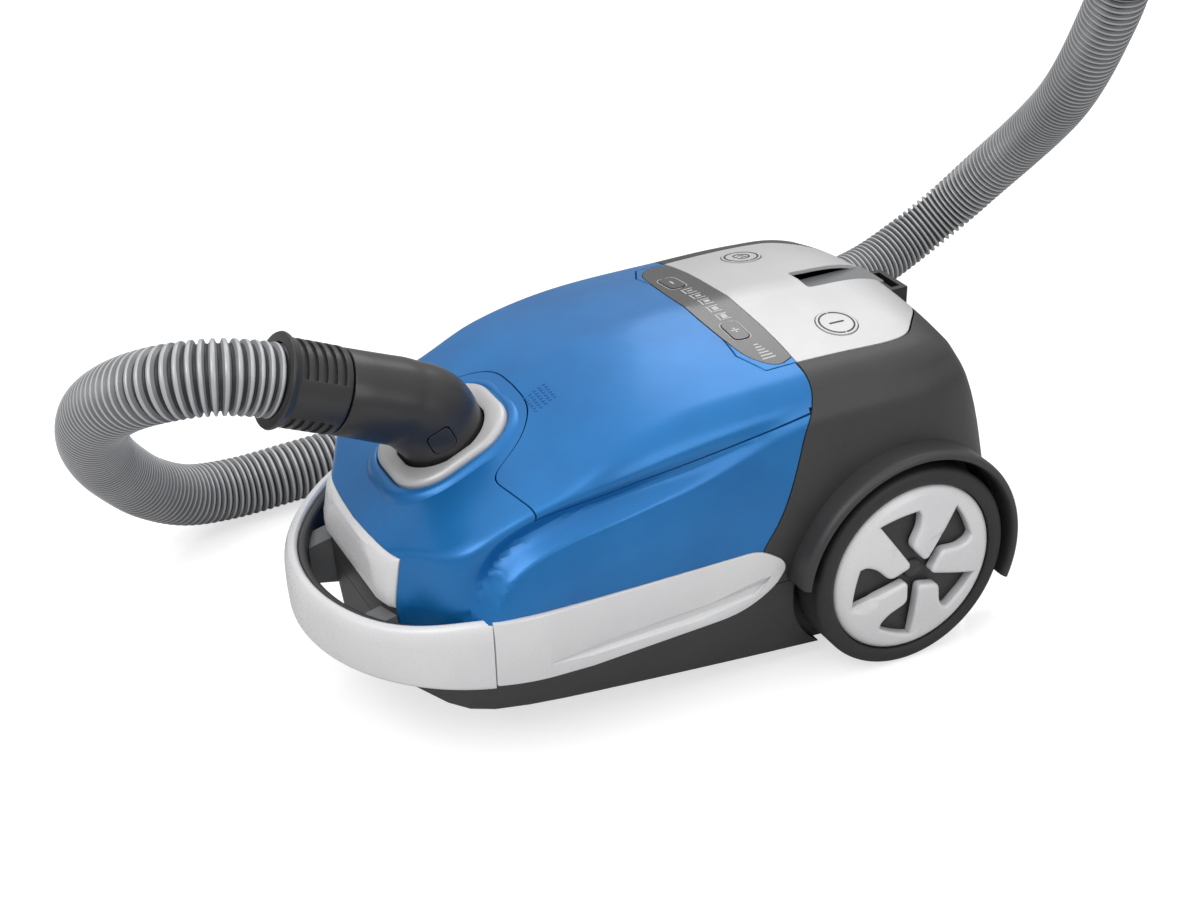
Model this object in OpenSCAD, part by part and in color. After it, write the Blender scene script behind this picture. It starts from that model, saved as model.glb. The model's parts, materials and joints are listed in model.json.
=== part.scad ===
// Canister vacuum cleaner: bag chamber in front, motor and cord reel between two large rear wheels,
// hose elbow in the nose, hose laid round the far side.  Millimetres, +Z up, front towards -Y,
// origin on the floor under the middle of the body.

/* [Body] */
// Length from the bumper to the rear feet
length = 480; // [440:1:580]
// Width over the side trims
body_w = 248; // [236:1:300]
// Height of the crown of the top
height = 217; // [205:1:262]
// Wall of the outer shells
wall = 2.6; // [2:0.1:3.2]
// Visible gap between two shells
seam = 0.6; // [0.4:0.1:1]
// Height where the base tray meets the upper shells
split_z = 76; // [70:1:84]

/* [Wheels] */
// Radius of a rear tyre
tyre_r = 70; // [60:1:84]
// Width of a rear tyre
tyre_w = 33; // [26:1:36]
// Radius of a hubcap
hub_r = 59; // [48:1:60]
// Radius of the rear stub axles
axle_r = 5; // [4:0.5:6]
// Radius of the swivel wheel
caster_r = 15; // [13:1:16]

/* [Bumper loop] */
// Height of the bumper band
bumper_h = 38; // [32:1:42]
// Thickness of the bumper band
bumper_t = 9; // [7:0.5:11]

/* [Hose] */
// Outside diameter of the hose
hose_d = 45; // [37:1:46]
// Outside radius of the elbow
elbow_r = 27; // [25:0.5:30]
// Tilt of the inlet from upright
inlet_tilt = 24; // [18:1:30]
// Bend of the elbow
elbow_bend = 42; // [36:1:48]
// Inside radius of the socket for the wand
wand_r = 17.5; // [15:0.5:18]

/* [Controls] */
// Radius of the two pedal buttons
pedal_r = 13.5; // [11:0.5:15]
// Travel of a pedal button
pedal_travel = 4; // [2:0.5:5]

/* [Motor and reel] */
// Outside radius of the motor capsule
motor_r = 47; // [40:1:48]
// Length of the motor capsule
motor_l = 104; // [90:1:110]
// Outside radius of the cord reel
reel_r = 60; // [50:1:62]
// Width of the cord reel
reel_w = 40; // [34:1:42]

/* [Hidden] */
$fn = 48;

BLUE = [0.12, 0.42, 0.75];
SILVER = [0.78, 0.79, 0.80];
WHITE = [0.90, 0.91, 0.92];
DARK = [0.20, 0.20, 0.21];
BLACK = [0.09, 0.09, 0.10];
STEEL = [0.62, 0.63, 0.65];

// Places along the body
front_y = -length / 2;
rear_y = length / 2;
nose_y = front_y + 40;
tail_y = rear_y - 24;
axle_y = rear_y - 118;
panel_y = axle_y - 57;
hinge_y = panel_y - 8;
bulkhead_y = panel_y - 9;
hw = body_w / 2;
fit = 0.05;
free = 0.4;

// Outline functions: a smooth curve through a few control points
function slope_at(p, i) =
    i == 0 ? (p[1][1] - p[0][1]) / (p[1][0] - p[0][0]) :
    i == len(p) - 1 ? (p[i][1] - p[i - 1][1]) / (p[i][0] - p[i - 1][0]) :
    (p[i + 1][1] - p[i - 1][1]) / (p[i + 1][0] - p[i - 1][0]);
function last_below(p, y) = max([for (k = [0 : len(p) - 2]) (y >= p[k][0] || k == 0) ? k : 0]);
function along(p, y) =
    let (
        i = last_below(p, y),
        h = p[i + 1][0] - p[i][0],
        t = min(1, max(0, (y - p[i][0]) / h)),
        a = slope_at(p, i) * h,
        b = slope_at(p, i + 1) * h
    )
    (2 * t ^ 3 - 3 * t ^ 2 + 1) * p[i][1] + (t ^ 3 - 2 * t ^ 2 + t) * a
    + (3 * t ^ 2 - 2 * t ^ 3) * p[i + 1][1] + (t ^ 3 - t ^ 2) * b;

// Crown of the body along its length
crown_line = [
    [nose_y, height - 89], [nose_y + 34, height - 62], [nose_y + 64, height - 47],
    [nose_y + 94, height - 34], [nose_y + 130, height - 16], [nose_y + 180, height - 4],
    [panel_y - 25, height], [panel_y + 60, height], [tail_y - 46, height - 6],
    [tail_y - 34, height - 22], [tail_y - 16, height - 80], [tail_y, height - 150]];
// Half width of the body along its length
plan_line = [
    [nose_y, hw - 79], [nose_y + 4, hw - 64], [nose_y + 12, hw - 48], [nose_y + 24, hw - 24],
    [nose_y + 34, hw - 13], [nose_y + 48, hw - 7], [nose_y + 80, hw - 3], [nose_y + 150, hw - 1],
    [axle_y - 60, hw], [axle_y + 20, hw], [tail_y - 40, hw - 8], [tail_y - 14, hw - 22], [tail_y, hw - 40]];
// Heights of the side of the body
belt_z = 107;
tuck_z = 62;
// Underside: rises towards the nose
function under_z(y) = max(10, 17.6 - 0.095 * y);

// One cross-section, from the crown down the right side to the underside
function half_section(y, in) =
    let (
        w = along(plan_line, y),
        t = along(crown_line, y),
        s = (t - tuck_z) / (height - tuck_z),
        shoulder = 12 + 12 * min(1, max(0, (y - nose_y) / (panel_y - nose_y))),
        drop = 14 * s * w / hw,
        crease_z = t - drop,
        lip_z = crease_z - 15 * s,
        flank_z = crease_z - 62 * s
    )
    [[0, t - in], [0.55 * (w - shoulder), t - 0.3 * drop - in], [w - shoulder - 0.4 * in, crease_z - in],
     [w - 8 - 0.8 * in, lip_z - 0.6 * in], [w - in, flank_z], [w - in, min(belt_z, flank_z - 6)],
     [w - 6 - in, tuck_z], [w - 18 - in, under_z(y) + in], [0, under_z(y) + in]];
function full_section(y, in) =
    let (h = half_section(y, in))
    concat([for (p = h) [p[0], y, p[1]]], [for (i = [len(h) - 2 : -1 : 1]) [-h[i][0], y, h[i][1]]]);
function stations(in) =
    let (a = nose_y + in, b = tail_y - in)
    concat([a, a + 4, a + 12, a + 24, a + 34, a + 48],
        [for (k = [1 : 9]) a + 48 + k * (panel_y - 25 - a - 48) / 9],
        [panel_y + 20, panel_y + 60, b - 46, b - 34, b - 24, b - 12, b]);

// A closed skin over rings of points, each ring a list of the same length
module skin(rings) {
    n = len(rings[0]);
    m = len(rings);
    points = [for (r = rings) for (p = r) p];
    sides = [for (i = [0 : m - 2]) for (j = [0 : n - 1]) each [
        [i * n + j, (i + 1) * n + (j + 1) % n, i * n + (j + 1) % n],
        [i * n + j, (i + 1) * n + j, (i + 1) * n + (j + 1) % n]]];
    first = [[for (j = [0 : n - 1]) j]];
    last = [[for (j = [n - 1 : -1 : 0]) (m - 1) * n + j]];
    polyhedron(points, concat(sides, first, last), convexity = 6);
}

module body_form(in = 0) {
    skin([for (y = stations(in)) full_section(y, in)]);
}

// Hollow skin of the whole body, from which the outer shells are parted
module body_skin() {
    difference() {
        body_form();
        body_form(wall);
    }
}

// Side view regions, extruded across the body
module side_region(points) {
    rotate([90, 0, 90])
        linear_extrude(2 * body_w, center = true)
            polygon(points);
}

// Seam between the front shell and the rear housing, from the top down
function rear_seam(d) = [
    [panel_y + d, height + 60], [panel_y + d, height - 11], [panel_y - 5 + d, height - 27],
    [panel_y - 13 + d, height - 38], [panel_y - 33 + d, 124], [panel_y - 45 + d, belt_z],
    [panel_y - 52 + d, split_z]];

module front_region() {
    side_region(concat([[front_y - 40, height + 60]], rear_seam(-seam / 2), [[front_y - 40, split_z]]));
}

module rear_region() {
    side_region(concat([[rear_y + 40, height + 60]], rear_seam(seam / 2), [[rear_y + 40, split_z]]));
}

// Region of the lid: everything above the side seam, behind the notch for the hose collar
lid_front = nose_y + 84;
notch_y = nose_y + 99;
module lid_region(gap) {
    intersection() {
        side_region([
            [front_y, height + 60], [hinge_y + 7, height + 60], [hinge_y + 7, height - 29 + gap],
            [lid_front + 56, height - 46 + gap], [lid_front - 14, height - 59 + gap],
            [front_y, height - 80 + gap]]);
        linear_extrude(height + 80)
            offset(delta = -gap)
                polygon([
                    [-hw - 9, lid_front], [-62, lid_front - 15], [-45, notch_y], [-18, notch_y + 14],
                    [18, notch_y + 14], [45, notch_y], [62, lid_front - 15], [hw + 9, lid_front],
                    [hw + 9, hinge_y + 8], [-hw - 9, hinge_y + 8]]);
    }
}

// The lid turns on this line; things that sweep past it are cut round it
hinge_z = height - 20;
knuckle_r = 7.2;
sweep_r = 27.4;
sweep_end_r = 17;
sweep_x = 66;
panel_half = 84.5;
module on_hinge() {
    translate([0, hinge_y, hinge_z])
        rotate([0, 90, 0])
            children();
}

// Top panel and display, in plan
panel_rear = tail_y - 40;
module panel_outline() {
    polygon([
        [-panel_half, panel_y], [panel_half, panel_y], [panel_half + 2, panel_y + 64],
        [panel_half - 4, panel_y + 82], [44, panel_rear], [-44, panel_rear],
        [-panel_half + 4, panel_y + 82], [-panel_half - 2, panel_y + 64]]);
}
display_front = panel_y - 26;
module display_outline() {
    hull() {
        for (s = [-1, 1]) {
            translate([s * 70, display_front + 12])
                circle(12);
            translate([s * 76, panel_y - 1])
                square([12, 2], center = true);
        }
    }
}
module top_cutout(gap) {
    translate([0, 0, split_z])
        linear_extrude(height)
            offset(delta = gap)
                union() {
                    panel_outline();
                    display_outline();
                }
}

// Places of the controls on the top panel
pedal_x = 59;
pedal_y = panel_y + 45;
rocker_x = 41;
rocker_y = panel_y - 18;
function top_z(x, y) = along(crown_line, y) - 14 * (abs(x) / hw) ^ 1.5;
pedal_top = top_z(pedal_x, pedal_y) + 0.8;

// ---------------------------------------------------------------- outer shells

module base_pan() {
    color(DARK)
        difference() {
            intersection() {
                body_skin();
                side_region([
                    [front_y, 0], [rear_y, 0], [rear_y, split_z - seam], [front_y, split_z - seam]]);
            }
            wheel_wells(wall / 2);
            translate([0, caster_y, 0])
                cylinder(h = caster_roof + 8, r = caster_well_r);
            for (s = [-1, 1])
                trim_cut(s);
        }
    color(DARK) {
        for (s = [-1, 1])
            intersection() {
                wheel_well(s);
                lower_half();
            }
        caster_socket();
        motor_cradle();
        reel_posts();
        brake_post();
    }
}

caster_y = nose_y + 66;
caster_hub_r = 9;
caster_well_r = 31;
caster_roof = 37;
module caster_socket() {
    translate([0, caster_y, 0])
        difference() {
            union() {
                intersection() {
                    translate([0, 0, 20])
                        cylinder(h = caster_roof - 20 + 2.4, r = caster_well_r + 2.4);
                    translate([0, -caster_y, 0])
                        body_form();
                }
                translate([0, 0, caster_roof])
                    cylinder(h = 16, r = caster_hub_r + 4);
            }
            translate([0, 0, -1])
                cylinder(h = caster_roof + 1, r = caster_well_r);
            translate([0, 0, caster_roof - 1])
                cylinder(h = 15, r = caster_hub_r + fit);
        }
}

motor_x = -46;
motor_y = panel_y + 13;
motor_z = 72;
module motor_cradle() {
    for (y = [motor_y + 6, motor_y + motor_l - 12])
        translate([motor_x, y + 5, 0])
            rotate([90, 0, 0])
                linear_extrude(6)
                    difference() {
                        translate([-30, under_z(y) + 1])
                            square([60, motor_z - 36]);
                        translate([0, motor_z])
                            circle(motor_r + 4);
                    }
}

reel_x = 46;
reel_y = pedal_y + 10;
reel_z = 86;
module reel_posts() {
    for (s = [-1, 1])
        translate([reel_x + s * (reel_w / 2 + 8) - 2.5, reel_y - 16, under_z(reel_y) + 1])
            difference() {
                cube([5, 32, reel_z - 2]);
                translate([-1, 16, reel_z - under_z(reel_y) - 1])
                    rotate([0, 90, 0])
                        cylinder(h = 7, r = 4);
            }
}

// Two cheeks and a pin that the brake lever rocks on
module brake_post() {
    for (s = [-1, 1])
        translate([brake_x - 3.5, pedal_y + s * 5.9 - 2, under_z(pedal_y) + 1])
            cube([8, 4, brake_z + 6 - under_z(pedal_y) - 1]);
    translate([brake_x, pedal_y + 7, brake_z + 2])
        rotate([90, 0, 0])
            cylinder(h = 14, r = 2);
}

// Round wells that the rear wheels stand in
well_r = tyre_r + 6;
well_x = hw - 24;
module wheel_wells(grow) {
    for (s = [-1, 1])
        translate([s * (well_x - grow), axle_y, tyre_r])
            rotate([0, s * 90, 0])
                cylinder(h = 80, r = well_r + grow);
}

module rear_housing() {
    color(DARK)
        difference() {
            intersection() {
                body_skin();
                rear_region();
            }
            wheel_wells(wall / 2);
            top_cutout(seam);
            exhaust_opening(seam);
            for (s = [-1, 1])
                trim_cut(s);
            on_hinge()
                cylinder(h = 2 * body_w, r = knuckle_r + seam, center = true);
        }
    color(DARK)
        for (s = [-1, 1]) {
            intersection() {
                wheel_well(s);
                upper_half();
            }
            wheel_arch(s);
        }
}

// Wall round one wheel, kept inside the outline of the body
module wheel_well(s) {
    intersection() {
        body_form();
        translate([s * (well_x - wall), axle_y, tyre_r])
            rotate([0, s * 90, 0])
                difference() {
                    cylinder(h = 60, r = well_r + wall);
                    translate([0, 0, wall])
                        cylinder(h = 60, r = well_r);
                    translate([0, 0, -1])
                        cylinder(h = 10, r = axle_r);
                }
    }
}

module upper_half() {
    translate([-body_w, front_y, split_z])
        cube([2 * body_w, length, height]);
}

module lower_half() {
    translate([-body_w, front_y, 0])
        cube([2 * body_w, length, split_z - seam]);
}

// Raised lip over one wheel
arch_from = -30;
arch_to = 174;
module wheel_arch(s) {
    translate([s * (hw - 1), axle_y, tyre_r])
        rotate([90, 0, s > 0 ? 90 : -90])
            rotate([0, 0, s > 0 ? arch_from : 180 - arch_to])
                rotate_extrude(angle = arch_to - arch_from, $fn = 72)
                    translate([well_r + 0.5, -3])
                        polygon([[0, 0], [wall, 0], [5.5, 4], [4.5, 16], [3, 18], [1, 18], [0, 17]]);
}

module front_shell() {
    color(BLUE)
        difference() {
            intersection() {
                body_skin();
                front_region();
            }
            lid_region(-seam / 2);
            top_cutout(seam);
            at_collar()
                translate([0, 0, -30])
                    linear_extrude(60)
                        collar_shape(-1.5);
            latch_cut(seam);
            for (s = [-1, 1])
                trim_cut(s);
        }
}

module top_panel() {
    color(SILVER)
        difference() {
            intersection() {
                body_skin();
                translate([0, 0, height - 60])
                    linear_extrude(100)
                        panel_outline();
            }
            for (s = [-1, 1])
                translate([s * pedal_x, pedal_y, height - 40])
                    cylinder(h = 60, r = pedal_r + free);
            translate([-13, panel_rear - 58, height - 9])
                cube([26, 70, 30]);
            on_hinge()
                cylinder(h = 2 * body_w, r = knuckle_r + seam, center = true);
        }
    color(SILVER) {
        // handle recess
        translate([-15, panel_rear - 60, height - 9])
            difference() {
                cube([30, 44, 7.5]);
                translate([2, 2, 1.6])
                    cube([26, 60, 10]);
            }
        hinge_ears();
    }
}

ear_x = 75;
pin_r = 2.5;
module hinge_ears() {
    for (s = [-1, 1])
        difference() {
            translate([s * ear_x - 3, hinge_y - 6, hinge_z - 5])
                cube([6, panel_y - hinge_y + 20, 10]);
            on_hinge()
                cylinder(h = body_w, r = pin_r, center = true);
        }
}

module lid_hinge_pins() {
    color(STEEL)
        for (s = [-1, 1])
            on_hinge()
                translate([0, 0, s > 0 ? ear_x - 3 : -ear_x - 20])
                    cylinder(h = 23, r = pin_r);
}

module display_window() {
    color(BLACK)
        intersection() {
                body_skin();
                translate([0, 0, height - 60])
                    linear_extrude(100)
                        difference() {
                            display_outline();
                            translate([0, seam])
                                panel_outline();
                            for (s = [-1, 1])
                                translate([s * rocker_x, rocker_y])
                                    rocker_shape(free);
                        }
        }
}

module rocker_shape(gap) {
    hull()
        for (s = [-1, 1])
            translate([s * 5, 0])
                circle(5.5 + gap);
}

// ---------------------------------------------------------------- inlet, collar and elbow

collar_y = nose_y + 64;
collar_z = height - 48;
module at_collar() {
    translate([0, collar_y, collar_z])
        rotate([inlet_tilt, 0, 0])
            children();
}

module collar_shape(in) {
    hull()
        for (x = [-1, 1])
            for (y = [-1, 1])
                translate([x * 17, y * 19])
                    circle(23 - in, $fn = 32);
}

module hose_collar() {
    color(SILVER)
        at_collar() {
            difference() {
                translate([0, 0, -1])
                    linear_extrude(5)
                        collar_shape(1);
                translate([0, 0, -5])
                    cylinder(h = 20, r = elbow_r + 2.5);
            }
            difference() {
                translate([0, 0, -22])
                    cylinder(h = 22, r = elbow_r + 5);
                translate([0, 0, -23])
                    cylinder(h = 40, r = elbow_r + 2.5);
            }
        }
}

module inlet_seal() {
    color(BLACK)
        at_collar()
            translate([0, 0, -28])
                difference() {
                    cylinder(h = 6, r = elbow_r + 5);
                    translate([0, 0, -1])
                        cylinder(h = 8, r = elbow_r - 6);
                }
}

bend_r = 55;
elbow_in = 20;
elbow_up = 5;
elbow_out = 38;
module on_bend_end() {
    translate([0, -bend_r + bend_r * cos(elbow_bend), elbow_up + bend_r * sin(elbow_bend)])
        rotate([elbow_bend, 0, 0])
            children();
}

// Rings along the elbow: down into the collar, round the bend, out to the cuff
elbow_sides = 32;
function elbow_section(c, t, r) =
    [for (k = [0 : elbow_sides - 1]) let (a = 360 * k / elbow_sides)
        c + r * [cos(a), sin(a) * cos(t), sin(a) * sin(t)]];
function bend_point(t) = [0, bend_r * (cos(t) - 1), elbow_up + bend_r * sin(t)];
module elbow_solid(r, extra) {
    skin(concat(
        [elbow_section([0, 0, -elbow_in - extra], 0, r)],
        [for (k = [0 : 6]) elbow_section(bend_point(k * elbow_bend / 6), k * elbow_bend / 6, r)],
        [elbow_section(bend_point(elbow_bend)
            + (elbow_out + extra) * [0, -sin(elbow_bend), cos(elbow_bend)], elbow_bend, r)]));
}

module elbow_ring(outer, inner) {
    difference() {
        elbow_solid(outer, 0);
        elbow_solid(inner, 1);
    }
}

module hose_elbow() {
    color(DARK)
        at_collar()
            difference() {
                union() {
                    elbow_solid(elbow_r, 0);
                    translate([0, 0, 4.4])
                        cylinder(h = 3, r = elbow_r + 4);
                }
                elbow_solid(elbow_r - 4, 1);
                for (s = [-1, 1])
                    elbow_button_pocket(s, free);
            }
}

button_h = 14;
button_w = 15;
module elbow_button_pocket(s, gap) {
    translate([s > 0 ? elbow_r - 10 : -elbow_r - 10, -12 - gap, 9 - gap])
        cube([20, button_w + 2 * gap, button_h + 2 * gap]);
}

module elbow_button(s) {
    color(DARK)
        at_collar()
            intersection() {
                elbow_button_pocket(s, 0);
                elbow_ring(elbow_r + 1, elbow_r - 2);
            }
}

// ---------------------------------------------------------------- cuff and hose

cuff_l = 40;
cuff_gap = 0.6;
module on_cuff() {
    at_collar()
        on_bend_end()
            translate([0, 0, elbow_out + cuff_gap])
                children();
}

module hose_cuff() {
    color(DARK)
        on_cuff()
            difference() {
                union() {
                    cylinder(h = cuff_l, r = elbow_r - 0.4);
                    translate([0, 0, cuff_l - 3])
                        cylinder(h = 3, r = elbow_r + 1.2);
                }
                translate([0, 0, -1])
                    cylinder(h = cuff_l + 2, r = hose_d / 2 + 0.4);
                for (k = [0 : 4])
                    translate([0, 0, 6 + k * 6.4])
                        rotate_extrude()
                            translate([elbow_r - 1.6, 0])
                                square([4, 2.2]);
            }
}

// Route of the hose: out of the cuff, round in front of the nose, along the floor on the far side,
// then up behind to the hand grip.  Round numbers, in the frame of the whole machine.
HOSE_LINE = [
    [0, -212, 222], [0, -245, 236], [-4, -272, 242], [-18, -298, 238], [-46, -316, 222],
    [-84, -325, 195], [-124, -324, 160], [-162, -314, 124], [-196, -298, 90], [-222, -276, 58],
    [-240, -246, 34], [-250, -208, 24], [-254, -165, 23], [-258, -110, 23], [-264, -50, 23],
    [-272, 10, 23], [-282, 70, 23], [-292, 130, 23], [-302, 190, 23], [-312, 250, 23],
    [-322, 305, 23], [-333, 360, 23], [-342, 410, 28], [-344, 455, 46], [-334, 490, 74],
    [-312, 510, 108], [-280, 518, 144], [-244, 514, 178], [-208, 502, 210], [-176, 490, 244],
    [-148, 480, 282], [-124, 472, 322], [-106, 464, 366]];
// The end in the cuff goes with the cuff when the body gets longer or taller
HOSE_ROUTE = [for (i = [0 : len(HOSE_LINE) - 1])
    HOSE_LINE[i] + max(0, min(1, (10 - i) / 7)) * [0, front_y + 240, height - 217]];

function dot(a, b) = a[0] * b[0] + a[1] * b[1] + a[2] * b[2];
function unit(v) = v / norm(v);
function tangent(p, i) = unit(p[min(i + 1, len(p) - 1)] - p[max(i - 1, 0)]);
function square_to(v, t) = unit(v - dot(v, t) * t);
// The side direction is carried from ring to ring, so that the tube never twists
function side_at(p, i) =
    i == 0 ? square_to([1, 0, 0], tangent(p, 0)) : square_to(side_at(p, i - 1), tangent(p, i));
function ring_at(p, i, r, n) =
    let (t = tangent(p, i), u = side_at(p, i), v = cross(t, u))
    [for (k = [0 : n - 1]) p[i] + r * (cos(360 * k / n) * u + sin(360 * k / n) * v)];

hose_sides = 12;
module hose() {
    color(SILVER)
        skin([for (i = [0 : len(HOSE_ROUTE) - 1]) ring_at(HOSE_ROUTE, i, hose_d / 2, hose_sides)]);
}

// Hand grip on the end of the hose, with the socket for the wand
grip_at = HOSE_ROUTE[len(HOSE_ROUTE) - 1];
grip_dir = tangent(HOSE_ROUTE, len(HOSE_ROUTE) - 1);
grip_l = 150;
module on_grip() {
    translate(grip_at)
        rotate([0, acos(grip_dir[2]), atan2(grip_dir[1], grip_dir[0])])
            children();
}

slider_l = 22;
module hand_grip() {
    color(DARK)
        on_grip()
            difference() {
                union() {
                    translate([0, 0, -34])
                        cylinder(h = 40, r = hose_d / 2 + 4);
                    cylinder(h = grip_l, r = wand_r + 3.2);
                    translate([0, 0, grip_l - 40])
                        cylinder(h = 40, r = wand_r + 5);
                }
                translate([0, 0, -35])
                    cylinder(h = 35.5, r = hose_d / 2 + 0.6);
                cylinder(h = grip_l, r = wand_r - 2.5);
                translate([0, 0, grip_l - 45])
                    cylinder(h = 46, r = wand_r);
                translate([wand_r - 2, -6, 40])
                    cube([20, 12, slider_l + 14]);
            }
}

module grip_slider() {
    color(SILVER)
        on_grip()
            translate([wand_r - 1.6, -5.6, 40.4])
                cube([6.6, 11.2, slider_l]);
}

// ---------------------------------------------------------------- bumper loop and trims

loop_ly = 120;
loop_y = front_y + loop_ly;
bumper_z = 60;
joint_y = nose_y + 43;
function loop_side(in) = [for (t = [180 : 7.5 : 360]) [(hw - in) * cos(t), loop_y + (loop_ly - in) * sin(t)]];

module loop_band(outer, inner, from_y) {
    intersection() {
        difference() {
            polygon(loop_side(outer));
            polygon(concat(loop_side(inner), [[hw, loop_y + 2], [-hw, loop_y + 2]]));
        }
        translate([-body_w, front_y - 10])
            square([2 * body_w, from_y - front_y + 10]);
    }
}

module bumper_loop() {
    color(WHITE)
        difference() {
            translate([0, 0, bumper_z])
                linear_extrude(bumper_h)
                    loop_band(0, bumper_t, joint_y - seam);
            body_form(-0.2);
        }
}

module bumper_liner() {
    color(DARK)
        difference() {
            translate([0, 0, bumper_z + 3])
                linear_extrude(bumper_h - 5)
                    loop_band(bumper_t + 0.05, bumper_t + 6, joint_y - 14);
            body_form(-0.2);
        }
}

trim_t = 6;
trim_top = belt_z;
trim_low = 65;
// The trims end ahead of the rim round the wheel well
trim_back = min(panel_y - 28, axle_y - well_r - 9);
module trim_prism(s, grow) {
    translate([s * (hw - trim_t + 3), 0, 0])
        rotate([90, 0, 90])
            translate([0, 0, -3 - (s > 0 ? grow : 0)])
                linear_extrude(trim_t + grow + (grow > 0 ? 10 : 0))
                    offset(delta = grow)
                        polygon([
                            [joint_y, trim_low - 2], [joint_y + 60, trim_low - 4], [trim_back - 32, trim_low],
                            [trim_back - 4, trim_low + 14], [trim_back, trim_top - 16],
                            [trim_back - 18, trim_top], [joint_y, trim_top]]);
}

module trim_cut(s) {
    if (s > 0)
        trim_prism(1, free);
    else
        mirror([1, 0, 0])
            trim_prism(1, free);
}

module side_trim_right() {
    color(WHITE)
        trim_prism(1, 0);
}

module side_trim_left() {
    color(WHITE)
        mirror([1, 0, 0])
            trim_prism(1, 0);
}

// Web that ties the loop to the nose of the base
module front_post() {
    color([0.55, 0.55, 0.56])
        difference() {
            intersection() {
                for (s = [-1, 1])
                    translate([s * 52, 0, 0])
                        side_region_narrow([
                            [front_y, bumper_z + 6], [front_y, bumper_z + 22],
                            [nose_y + 14, split_z + 18], [nose_y + 14, split_z - 22]], 16);
                linear_extrude(height)
                    polygon(loop_side(bumper_t + 6.1));
            }
            body_form(-0.1);
        }
}

module side_region_narrow(points, width) {
    rotate([90, 0, 90])
        linear_extrude(width, center = true)
            polygon(points);
}

module rear_feet() {
    color(BLACK)
        for (s = [-1, 1])
            translate([s * (hw - 40), 0, 0])
                side_region_narrow([
                    [tail_y + 0.2, 33], [rear_y - 4, 34], [rear_y, 40], [rear_y, 52], [tail_y + 10, 64],
                    [tail_y + 0.2, 66]], 14);
}

module parking_bracket() {
    color(BLACK)
        translate([0, tail_y - 36, height - 22])
            difference() {
                translate([-16, 0, -14])
                    cube([32, 14, 20]);
                translate([-12, 4, -20])
                    cube([24, 6.4, 40]);
                translate([0, 36 - tail_y, 22 - height])
                    body_form(-0.1);
            }
}

// ---------------------------------------------------------------- latch

latch_top = height - 88;
latch_low = height - 120;
module latch_band(out, in) {
    intersection() {
        translate([0, 0, latch_low])
            linear_extrude(latch_top - latch_low)
                difference() {
                    nose_outline(out);
                    nose_outline(-in);
                }
        translate([-59, nose_y - 20, 0])
            cube([118, 60, height]);
    }
}

module nose_outline(grow) {
    offset(delta = grow)
        polygon(concat(
            [for (k = [0 : 5]) let (y = nose_y + [0, 4, 12, 24, 34, 48][k]) [along(plan_line, y), y]],
            [for (k = [5 : -1 : 0]) let (y = nose_y + [0, 4, 12, 24, 34, 48][k]) [-along(plan_line, y), y]]));
}

module latch_cut(gap) {
    translate([0, 0, latch_low - gap])
        linear_extrude(latch_top - latch_low + 2 * gap)
            intersection() {
                nose_outline(10);
                translate([-59 - gap, nose_y - 20])
                    square([118 + 2 * gap, 45]);
            }
}

module latch_lever() {
    color(WHITE)
        latch_band(2.5, 1);
}

slide_z = -9;
module latch_slide() {
    color(STEEL)
        at_collar()
            translate([0, 0, slide_z])
                linear_extrude(1.6)
                    difference() {
                        translate([-42, -36])
                            square([84, 76]);
                        hull()
                            for (y = [-5, 5])
                                translate([0, y])
                                    circle(elbow_r + 5.4, $fn = 48);
                    }
}

// ---------------------------------------------------------------- inside

module bulkhead() {
    color(DARK)
        difference() {
            intersection() {
                body_form(wall + free);
                translate([-body_w, bulkhead_y, 0])
                    cube([2 * body_w, 3, split_z + 104]);
            }
            translate([-52, bulkhead_y - 1, split_z - 34])
                cube([104, 5, 90]);
            wheel_wells(7);
        }
}

module filter_frame() {
    color(WHITE)
        translate([-58, bulkhead_y - 6, split_z - 40])
            difference() {
                cube([116, 5.6, 102]);
                translate([8, -1, 8])
                    cube([100, 8, 86]);
            }
}

module filter_foam() {
    color([0.25, 0.26, 0.28])
        translate([-49.6, bulkhead_y - 5, split_z - 31.6])
            cube([99.2, 4, 85.2]);
}

bag_front = nose_y + 50;
bag_rear = bulkhead_y - 12;
plate_z = -31;
holder_z = plate_z - 3.6;
module dust_bag() {
    color([0.93, 0.91, 0.86])
        difference() {
            intersection() {
                translate([0, (bag_front + bag_rear) / 2, 104])
                    rotate([90, 0, 0])
                        linear_extrude(bag_rear - bag_front, center = true)
                            offset(r = 28)
                                square([112, 44], center = true);
                body_form(wall + 10);
            }
            at_collar()
                translate([-hw, -hw, holder_z - 0.4])
                    cube([2 * hw, 3 * hw, 2 * hw]);
        }
}

module bag_plate() {
    color([0.72, 0.58, 0.40])
        at_collar()
            translate([0, 0, plate_z])
                linear_extrude(2)
                    difference() {
                        square([96, 76], center = true);
                        circle(elbow_r - 5);
                    }
}

module bag_holder() {
    color(BLUE)
        at_collar()
            translate([0, 0, holder_z])
                linear_extrude(3.2)
                    difference() {
                        offset(r = 4)
                            square([96, 76], center = true);
                        circle(elbow_r + 3);
                    }
}

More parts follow.
